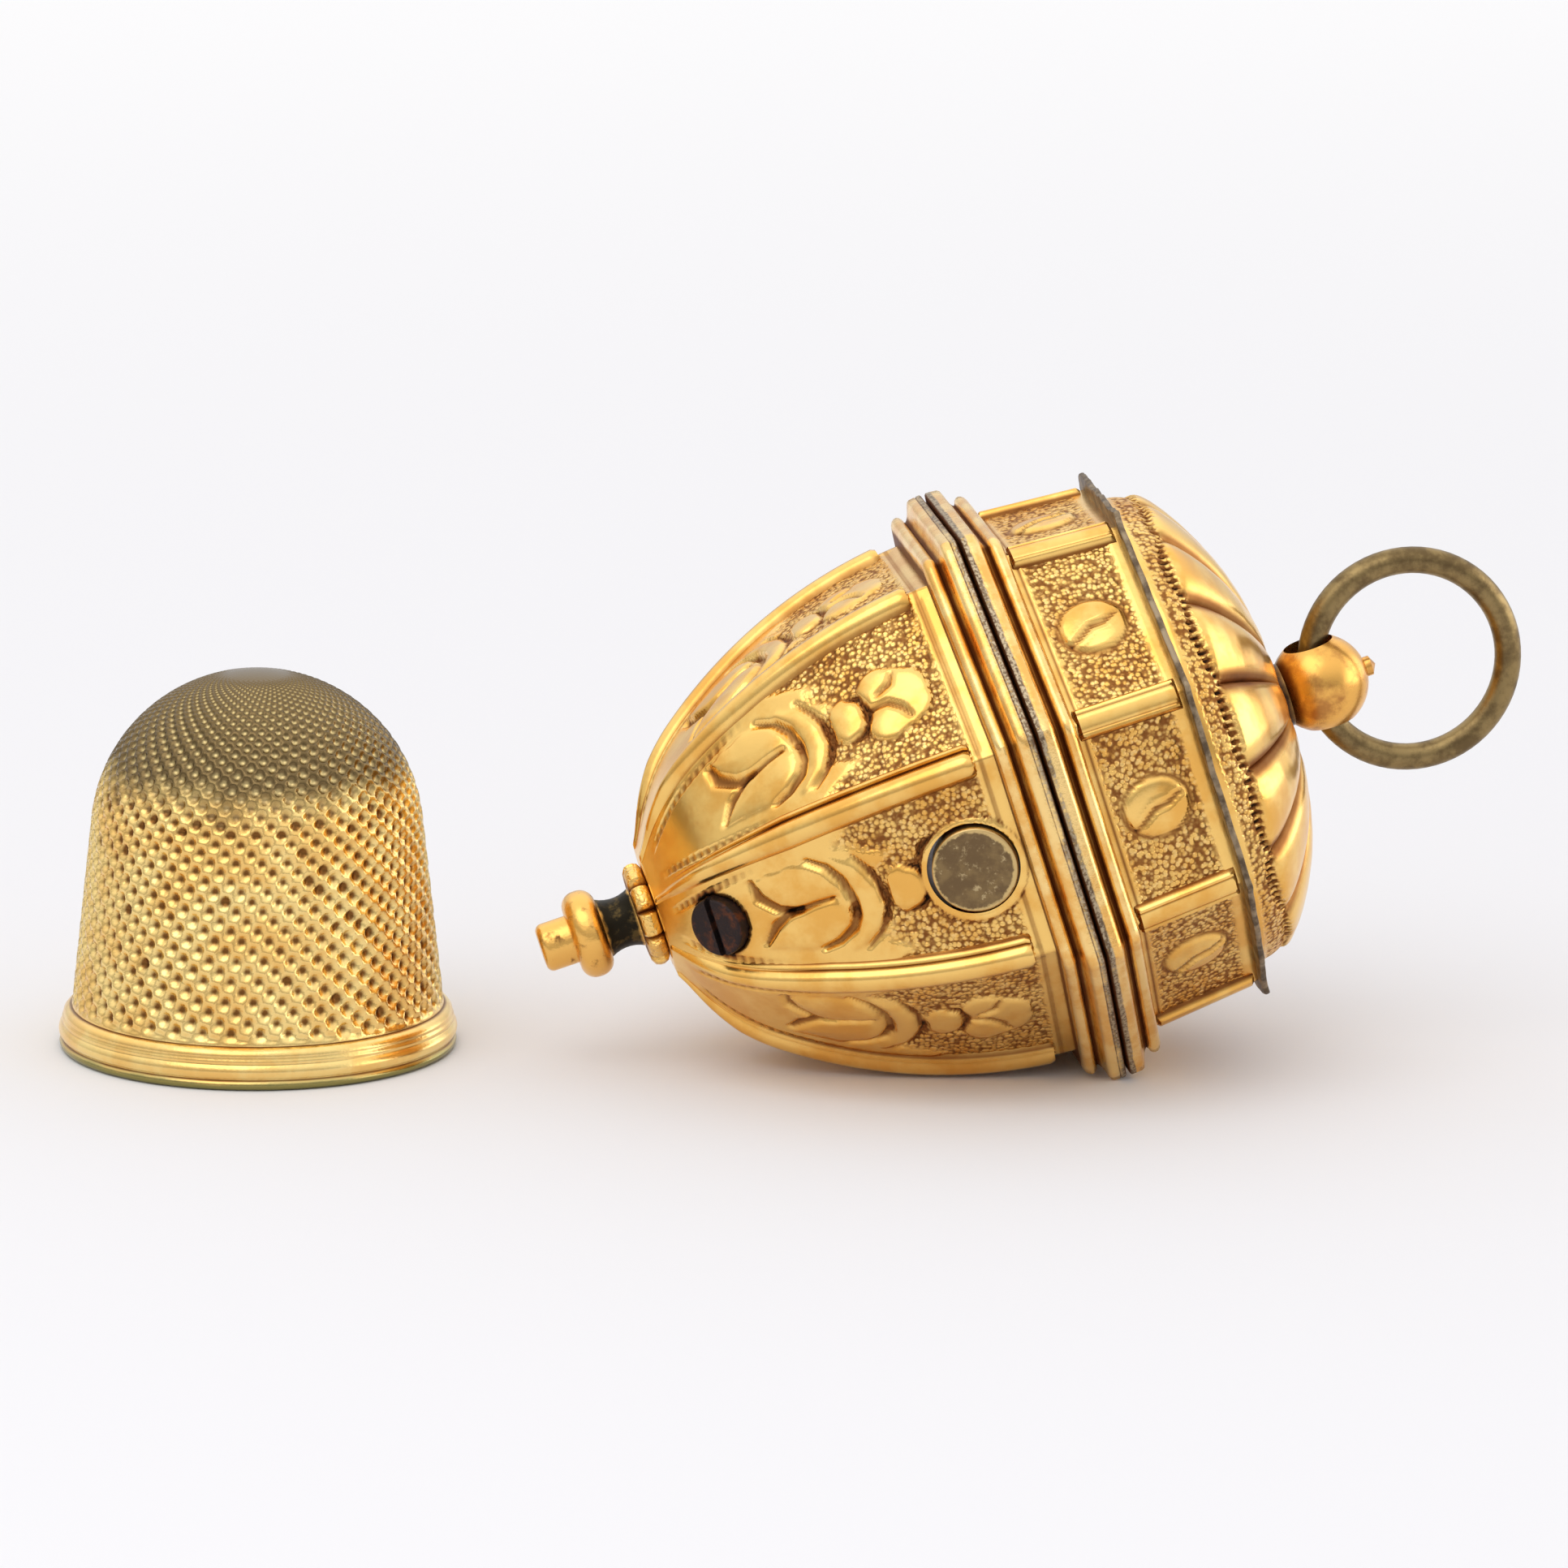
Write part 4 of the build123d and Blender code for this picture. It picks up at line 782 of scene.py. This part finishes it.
dome_level = np.interp(dome_runs, dome_gaps, dome_points[:, 1])
smoothing = np.array([1, 4, 6, 4, 1]) / 16
for line in (dome_radius, dome_level):
    line[2:-2] = np.convolve(line, smoothing, "valid")
dome_slope = np.arctan2(-np.gradient(dome_radius), np.gradient(dome_level))
dome_dice = np.random.default_rng(7)
tooth_length = dome_dice.random(dome_steps // 4) * 0.22
tooth_shift = dome_dice.random(lobes) * 0.16 - 0.08


def dome_shape(column, row):
    turn = column / dome_steps * 2 * math.pi
    inner = row > dome_rows
    back = np.clip((dome_rows + 1 + dome_inner - row) / dome_inner, 0, 1) * dome_rows
    spot = np.where(inner, back, row).astype(int)
    run, radius, level, slope = dome_runs[spot], dome_radius[spot], dome_level[spot], dome_slope[spot]
    share = column / dome_steps * lobes
    phase = share % 1
    middle = np.abs(2 * phase - 1)
    bulge = np.sqrt(np.clip(1 - middle**2.6, 0, 1))
    start = 1.35 + 0.12 * np.sin(turn * 5 + 1) + tooth_shift[column // lobe_steps % lobes] + 0.35 * middle**6
    rise = np.clip((run - start) / 0.5, 0, 1)
    rise = np.sqrt(1 - (1 - rise) ** 2)
    fade = np.clip((dome_runs[-1] - 2.2 - run) / 4.0, 0, 1) ** 0.7
    height = rise * fade * (0.62 * bulge - 0.38)
    tooth_end = start - 0.16 - tooth_length[column // 4 % (dome_steps // 4)]
    teeth = (column % 4 < 2) * (run > tooth_end) * (run < start + 0.12)
    ring = np.clip((run - 0.3) / 0.1, 0, 1) * (1 - rise)
    height -= 0.05 * ring + 0.14 * teeth
    # Brown in the teeth, the creases and near the knob's neck: painted shade with some dirt.
    hollow = 0.25 * ring + 0.95 * teeth + 0.9 * np.clip((middle - 0.60) / 0.26, 0, 1) * rise * fade**0.4
    hollow += np.clip((run - dome_runs[-1] + 1.6) / 1.0, 0, 1)
    height = np.where(inner, -0.6, height * (row > 0))
    radius = np.maximum(radius + height * np.cos(slope), 0.85)
    level = np.maximum(level + height * np.sin(slope), 7.2)
    return turned(turn, radius, level), np.clip(hollow, 0, 1.3), ring


bend_grid(dome, dome_steps, dome_rows + 1 + dome_inner, dome_shape)
bmesh.ops.remove_doubles(dome, verts=dome.verts, dist=0.0005)
bmesh.ops.bridge_loops(dome, edges=[edge for edge in dome.edges if edge.is_boundary])
finish_piece("dome_lobes", dome, gilt, "lid", ["lid_dome"], sharp=math.radians(70))

# Ball knob and hanging ring: the ball is turned brass, gilt and rubbed brown in patches, and its neck
# against the dome is painted near-black as shade. The ring is bare brass wire, soldered shut, dull olive
# brown.


def rubbed_ball(place, hollow, ground):
    level = place.level()
    patches = place.cloud(1.2, 5.0, 0.6)
    # The neck next to the dome: painted shade, near-black.
    neck = 1.0 - (level + (patches - 0.5) * 1.2).ease(12.2, 13.0)
    colour = patches.ease(0.45, 0.68).blend((0.86, 0.46, 0.11), (0.50, 0.22, 0.06))
    colour = neck.blend(colour, (0.05, 0.025, 0.015))
    return colour, 0.20 + patches * 0.14, patches * 0.012, 1.0


def dull_wire(place, hollow, ground):
    patches = place.cloud(1.3, 6.0, 0.65)
    fine = place.cloud(0.15, 3.0)
    colour = patches.ease(0.4, 0.66).blend((0.30, 0.21, 0.09), (0.15, 0.10, 0.045))
    return colour, 0.27 + patches * 0.18, patches * 0.02 + fine * 0.01, 1.0


frame["nodes"]["ball_knob"].data.materials[0] = metal("rubbed ball", rubbed_ball)
frame["nodes"]["ring"].data.materials[0] = metal("ring brass", dull_wire)

# Hinge, bezel and what is riveted inside: plain brass strip, tube and wire, soldered or riveted in place and
# browned by age. The catch's leaf spring is blued steel.
brass_nodes = ["body_bezel", "body_knuckles", "lid_knuckle", "hinge_pin", "lid_strike", "finial_washer"]
for node in (*brass_nodes, "knob_washer"):
    frame["nodes"][node].data.materials[0] = rim_metal


def spring_blue(place, hollow, ground):
    patches = place.cloud(1.6, 5.0, 0.6)
    colour = patches.ease(0.45, 0.7).blend((0.30, 0.31, 0.34), (0.16, 0.11, 0.08))
    return colour, 0.34 + patches * 0.2, patches * 0.01, 1.0


steel = metal("spring steel", spring_blue)
for node in ("spring_foot", "catch_spring"):
    frame["nodes"][node].data.materials[0] = steel

# Linings: a socket for the thimble, card covered with velvet, which is glued into the body with a slot for
# the catch's spring, and a silk pad over wadding, glued into the lid.


def pile(place, hollow, ground):
    nap = place.cloud(0.12, 3.0)
    patches = place.cloud(2.5, 4.0)
    colour = patches.blend((0.16, 0.012, 0.025), (0.28, 0.03, 0.05))
    return colour, 0.9, nap * 0.06 + patches * 0.1, 0.0


def satin(place, hollow, ground):
    weave = place.cloud(0.1, 2.0)
    patches = place.cloud(3.0, 4.0)
    colour = patches.blend((0.30, 0.03, 0.05), (0.44, 0.07, 0.09))
    return colour, 0.45, weave * 0.02, 0.0


velvet = metal("velvet", pile)
silk = metal("silk", satin)
lining_top = -2.0


def block_flat(level):
    """Flat of the lining's outside at a level, inside the shell."""
    runs = np.linspace(-0.9, panel_length, 400)
    flat, at, slope = panel_curve(runs)
    return np.interp(-level, -(at + 0.8 * np.sin(slope)), flat - 0.8 * np.cos(slope))


lining = new_mesh()
lining_steps = sides * 24
seat, crown_radius, crown_rise = 3.4, 7.5, 9.7
cone_reach = math.hypot(8.4, crown_rise - 1.95)
cone_turn = math.acos(crown_radius / cone_reach) - math.atan2(crown_rise - 1.95, 8.4)
block_foot = -9.0
slot_half_width = 2.3


def thimble_outline(grow, foot, steps):
    """Radius and height of the thimble's cone and crown, grown by a gap, from a foot height to the top."""
    radius = crown_radius + grow
    turns = np.linspace(cone_turn, math.pi / 2, steps)
    first = radius * math.cos(cone_turn), crown_rise + radius * math.sin(cone_turn)
    foot_radius = first[0] + (first[1] - foot) * math.tan(cone_turn)
    cone = np.linspace(0, 1, steps, endpoint=False)
    radii = np.concatenate([foot_radius + (first[0] - foot_radius) * cone, radius * np.cos(turns)])
    heights = np.concatenate([foot + (first[1] - foot) * cone, crown_rise + radius * np.sin(turns)])
    return radii, heights


socket_radii, socket_rises = thimble_outline(0.3, seat - lining_top, 10)
cup_radii, cup_rises = thimble_outline(1.1, seat - block_foot, 8)
block_levels = np.linspace(lining_top - 0.25, block_foot, 10)
lining_round = np.concatenate(
    [np.zeros(len(socket_radii)), np.full(1, 0.0), np.ones(2 + len(block_levels)), np.zeros(len(cup_radii))]
)
lining_radii = np.concatenate(
    [
        socket_radii[::-1],
        [socket_radii[0] + 0.18],
        [block_flat(lining_top) - 0.3],
        block_flat(block_levels),
        [block_flat(block_foot) - 0.2],
        cup_radii,
    ]
)
lining_levels = np.concatenate(
    [seat - socket_rises[::-1], [lining_top], [lining_top], block_levels, [block_foot], seat - cup_rises]
)


def lining_shape(column, row):
    turn = row / lining_steps * 2 * math.pi + corner_turn
    radius = lining_radii[column] * np.where(lining_round[column] > 0, eight_sided(turn), 1)
    level = lining_levels[column]
    slot_flat = np.interp(level, (-12.6, -5.0), (6.672, 8.85)) - 0.05
    slot = (np.abs(radius * np.cos(turn)) < slot_half_width) & (np.sin(turn) > 0)
    slot = slot & (radius * np.sin(turn) > slot_flat)
    radius = np.where(slot, slot_flat / np.maximum(np.sin(turn), 0.5), radius)
    return turned(turn, radius, level), np.zeros(len(turn)), np.zeros(len(turn))


bend_grid(lining, len(lining_radii) - 1, lining_steps, lining_shape)
finish_piece("velvet_socket", lining, velvet, "case", ["body_lining"])

pad = new_mesh()
pad_steps = 96
pad_section = np.array(
    [
        (0, 4.9), (2.0, 4.93), (4.0, 5.05), (6.0, 5.25), (8.0, 5.55), (9.2, 5.8), (9.75, 6.02), (9.98, 6.3),
        (10.05, 6.55), (10.02, 6.85), (9.9, 7.05), (9.6, 7.1), (5.0, 7.1), (0, 7.1),
    ]
)


def pad_shape(column, row):
    turn = row / pad_steps * 2 * math.pi
    radius, level = pad_section[column, 0], pad_section[column, 1]
    pleats = 0.05 * np.sin(turn * 24) * np.clip((radius - 6) / 3, 0, 1) * (level < 6.9)
    return turned(turn, radius - np.abs(pleats), level + pleats), np.zeros(len(turn)), np.zeros(len(turn))


bend_grid(pad, len(pad_section) - 1, pad_steps, pad_shape)
silk_pad = finish_piece("silk_pad", pad, silk, "lid", ["lid_pad"])

# Thimble: drawn brass, dimpled in slanting rows up to the crown, with a moulded band over a rolled lip.
# Gilt on the wall with brown painted shade in the dimples and dirt in some; greenish brown on the crown,
# where the dimples are painted paler as highlights.
thimble_low, thimble_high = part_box("thimble")
thimble_middle = (thimble_low + thimble_high) / 2
thimble_frame = Matrix.Translation((thimble_middle.x, thimble_middle.y, 0)) @ Matrix.Scale(0.001, 4)


def dimpled(place, hollow, ground):
    height = place.make("SeparateXYZ", {}, {0: place}, "Z") * 1000.0
    patches = place.cloud(3.0, 5.0, 0.6)
    crown = (height + (patches - 0.5) * 3.0).ease(11.6, 13.6)
    foot = 1.0 - (height + (patches - 0.5) * 0.4).ease(0.25, 0.5)
    yellow = patches.ease(0.42, 0.62).blend((0.95, 0.70, 0.27), (0.90, 0.57, 0.18))
    # Dimples and the band's grooves turn brown with painted shade; filled dimples, marked by ground, with
    # dirt.
    darkening = (hollow + (patches - 0.5) * 0.5 * hollow).ease(0.25, 1.15)
    yellow = (darkening * 1.15 + ground * hollow).ease(0.0, 1.0).blend(yellow, (0.20, 0.085, 0.022))
    # On the crown the dimples are painted paler than the olive brown: painted highlights.
    olive = hollow.ease(0.35, 0.9).blend((0.17, 0.115, 0.05), (0.62, 0.48, 0.22))
    colour = foot.blend(crown.blend(yellow, olive), (0.30, 0.26, 0.09))
    return colour, 0.22 + darkening * 0.16 + crown * 0.04, place.cloud(0.14) * 0.008, 1.0


thimble_metal = metal("dimpled brass", dimpled)
thimble = new_mesh()
dimples_round = 40
dimple_columns = 9
row_step, slant = 0.72, 0.19
thimble_columns = dimples_round * dimple_columns
wall_radii, wall_rises = thimble_outline(0, 1.95, 400)
wall_gaps = np.concatenate([[0], np.cumsum(np.hypot(np.diff(wall_radii), np.diff(wall_rises)))])
pitch = 2 * math.pi * np.maximum(wall_radii, 0.9) / dimples_round
row_count = np.concatenate([[0], np.cumsum(np.diff(wall_gaps) / (row_step * (pitch[1:] + pitch[:-1]) / 2))])
outer_count = 240
crown_count = np.interp(-1.5, -wall_radii, row_count)
crown_rows = np.linspace(crown_count, row_count[-1], 11)[1:]
dimple_rows = np.concatenate([np.linspace(0, crown_count, outer_count - 9), crown_rows])
# Columns: radius, rise and hollow; hollow paints shade with some dirt in the grooves of the band and under
# the lip.
rim_points = np.array(
    [
        (7.95, 1.95, 1), (7.95, 0.0, 1), (8.45, 0.0, 1), (8.66, 0.0, 0.8), (8.84, 0.05, 0.5),
        (8.94, 0.14, 0.3), (8.97, 0.26, 0.3), (8.94, 0.38, 0.4), (8.86, 0.44, 0.8), (8.84, 0.48, 0.9),
        (8.90, 0.56, 0.2), (8.98, 0.70, 0), (9.0, 0.84, 0), (8.97, 1.0, 0), (8.88, 1.14, 0.2),
        (8.83, 1.19, 0.6), (8.86, 1.26, 0.1), (8.84, 1.38, 0.1), (8.78, 1.45, 0.5), (8.79, 1.52, 0.1),
        (8.76, 1.66, 0), (8.66, 1.78, 0.1), (8.52, 1.87, 0.6), (8.40, 1.9, 1.0),
    ]
)
rim_dark = rim_points[:, 2]
inner_radii, inner_rises = thimble_outline(-0.45, 1.95, 8)
outer_radii, outer_rises = (np.interp(dimple_rows, row_count, line) for line in (wall_radii, wall_rises))
thimble_radii = np.concatenate([rim_points[:, 0], outer_radii, inner_radii[::-1]])
thimble_rises = np.concatenate([rim_points[:, 1], outer_rises, inner_rises[::-1]])
first_row = len(rim_points)
thimble_rows = len(thimble_radii) - 1
thimble_radii[-1], thimble_rises[-1] = rim_points[0, :2]
dimple_luck = np.random.default_rng(12).random((dimples_round, 2 * int(row_count[-1]) + 4))


def thimble_shape(column, row):
    turn = column / thimble_columns * 2 * math.pi
    on_wall = (row >= first_row) & (row <= first_row + outer_count)
    count = dimple_rows[np.clip(row - first_row, 0, outer_count)]
    radius, rise = thimble_radii[row].copy(), thimble_rises[row].copy()
    nearest, luck = np.full(len(turn), 9.0), np.zeros(len(turn))
    for half in (0, 0.5):
        centre = np.floor(count + 0.5 - half) + half
        across = column / dimple_columns - half - slant * centre + 0.5
        gap = np.hypot(across % 1 - 0.5, (count - centre) * row_step)
        own_luck = dimple_luck[np.floor(across).astype(int) % dimples_round, (2 * centre).astype(int)]
        luck = np.where(gap < nearest, own_luck, luck)
        nearest = np.minimum(nearest, gap)
    share = np.clip(nearest / 0.31, 0, 1)
    size = np.clip(radius / 8, 0.1, 1)
    calm = np.clip((count - 0.1) / 0.2, 0, 1) * np.clip((radius - 1.2) / 1.0, 0, 1)
    depth = 0.27 * (1 - share**2) ** 1.1 * size * calm * on_wall
    filled = 0.02 + 0.30 * np.exp(-(((turn - 5.05) / 0.28) ** 2) - ((rise - 8) / 3) ** 2)
    filled = filled + 0.3 * (np.abs(rise - 11.6) < 0.5)
    slope = np.where(rise > crown_rise, np.arctan2(rise - crown_rise, np.maximum(radius, 1e-6)), 0)
    radius = radius - depth * np.cos(slope)
    rise = rise - depth * np.sin(slope)
    # Dimples darken towards their middles: painted shade.
    hollow = np.where(on_wall, (0.1 + 0.95 * (1 - share)) * calm, 0.0)
    hollow = np.where(row < first_row, rim_dark[np.minimum(row, first_row - 1)], hollow)
    # The inside gets a fixed hollow of 0.8: painted shade.
    hollow = np.where(row > first_row + outer_count, 0.8, hollow)
    return turned(turn, radius, rise), hollow, np.where(luck < filled, 1.0, 0.3 * luck) * on_wall


bend_grid(thimble, thimble_columns, thimble_rows, thimble_shape)
finish_piece("thimble_dimpled", thimble, thimble_metal, "loose_thimble", ["thimble"],
             sharp=math.radians(75), place=thimble_frame)

# Table and light: a pale lavender-white paper floor that glows towards the back as painted light, a large
# soft lamp above on the left, and a white room, brightest above and on the right. The camera stands where the
# photographer did.
floor_mesh = bmesh.new()
bmesh.ops.create_grid(floor_mesh, x_segments=1, y_segments=1, size=3.0)
floor_data = bpy.data.meshes.new("floor")
floor_mesh.to_mesh(floor_data)
floor_mesh.free()
paper = bpy.data.materials.new("paper")
paper.use_nodes = True
paper_shader = paper.node_tree.nodes["Principled BSDF"]
paper_shader.inputs["Base Color"].default_value = (0.90, 0.89, 0.915, 1.0)
paper_shader.inputs["Roughness"].default_value = 0.9
paper_shader.inputs["Specular IOR Level"].default_value = 0.1
paper_wire = Wire(paper.node_tree)
paper_place = paper_wire.make("TexCoord", {}, {}, "Object")
# The floor glows more towards the back: painted light, not lit by a lamp.
beyond = paper_wire.make("SeparateXYZ", {}, {0: paper_place}, "Y").ease(0.02, 0.55)
glow = beyond.blend((0.0, 0.0, 0.0), (0.16, 0.165, 0.145))
paper.node_tree.links.new(glow.socket, paper_shader.inputs["Emission Color"])
paper_shader.inputs["Emission Strength"].default_value = 1.0
floor_data.materials.append(paper)
floor = bpy.data.objects.new("floor", floor_data)
bpy.context.scene.collection.objects.link(floor)


def lamp(name, power, size, spot, target):
    """A square soft lamp at a spot, facing a target, in metres."""
    data = bpy.data.lights.new(name, "AREA")
    data.energy, data.size = power, size
    piece = bpy.data.objects.new(name, data)
    piece.location = spot
    piece.rotation_euler = (Vector(target) - Vector(spot)).to_track_quat("-Z", "Y").to_euler()
    bpy.context.scene.collection.objects.link(piece)


lamp("key", 0.36, 0.34, (-0.16, -0.20, 0.36), (0, 0, 0.01))

world = bpy.data.worlds.new("room")
world.use_nodes = True
bpy.context.scene.world = world
room = world.node_tree
room.nodes.clear()
light = Wire(room)
direction = light.make("TexCoord", {}, {}, "Generated")
height = light.make("SeparateXYZ", {}, {0: direction}, "Z")
depth = light.make("SeparateXYZ", {}, {0: direction}, "Y")
aside = light.make("SeparateXYZ", {}, {0: direction}, "X")
sheen = 0.42 + height.ease(-0.1, 0.9) * 0.75 + depth.ease(-0.2, 0.8) * 0.25 + aside.ease(0.68, 0.95) * 2.1
mirrored = light.make("LightPath", {}, {}, "Is Glossy Ray")
mirrored = mirrored + light.make("LightPath", {}, {}, "Is Transmission Ray")
seen = light.make("LightPath", {}, {}, "Is Camera Ray")
strength = seen + mirrored * sheen + (1.0 - seen) * (1.0 - mirrored) * 0.92
background = light.make("Background", {}, {"Color": (1.0, 1.0, 1.0, 1.0), "Strength": strength})
room_output = room.nodes.new("ShaderNodeOutputWorld")
room.links.new(background.socket, room_output.inputs["Surface"])

turn, rise, roll = math.radians(7.53), math.radians(12.49), math.radians(0.48)
towards = Vector((-math.sin(turn) * math.cos(rise), -math.cos(turn) * math.cos(rise), math.sin(rise)))
right = Vector((math.cos(turn), -math.sin(turn), 0))
upright = towards.cross(right)
camera_right = math.cos(roll) * right + math.sin(roll) * upright
camera_up = math.cos(roll) * upright - math.sin(roll) * right
look_at = seam_spot + Vector((-0.01091, 0, 0.00020))
camera_data = bpy.data.cameras.new("camera")
camera_data.lens, camera_data.sensor_width = 205.36, 36
camera_data.clip_start, camera_data.clip_end = 0.01, 10
camera = bpy.data.objects.new("camera", camera_data)
camera_turn = Matrix((camera_right, camera_up, towards)).transposed().to_4x4()
camera.matrix_world = Matrix.Translation(look_at + towards * 0.4) @ camera_turn
bpy.context.scene.collection.objects.link(camera)
bpy.context.scene.camera = camera
bpy.context.scene.view_settings.view_transform = "Standard"
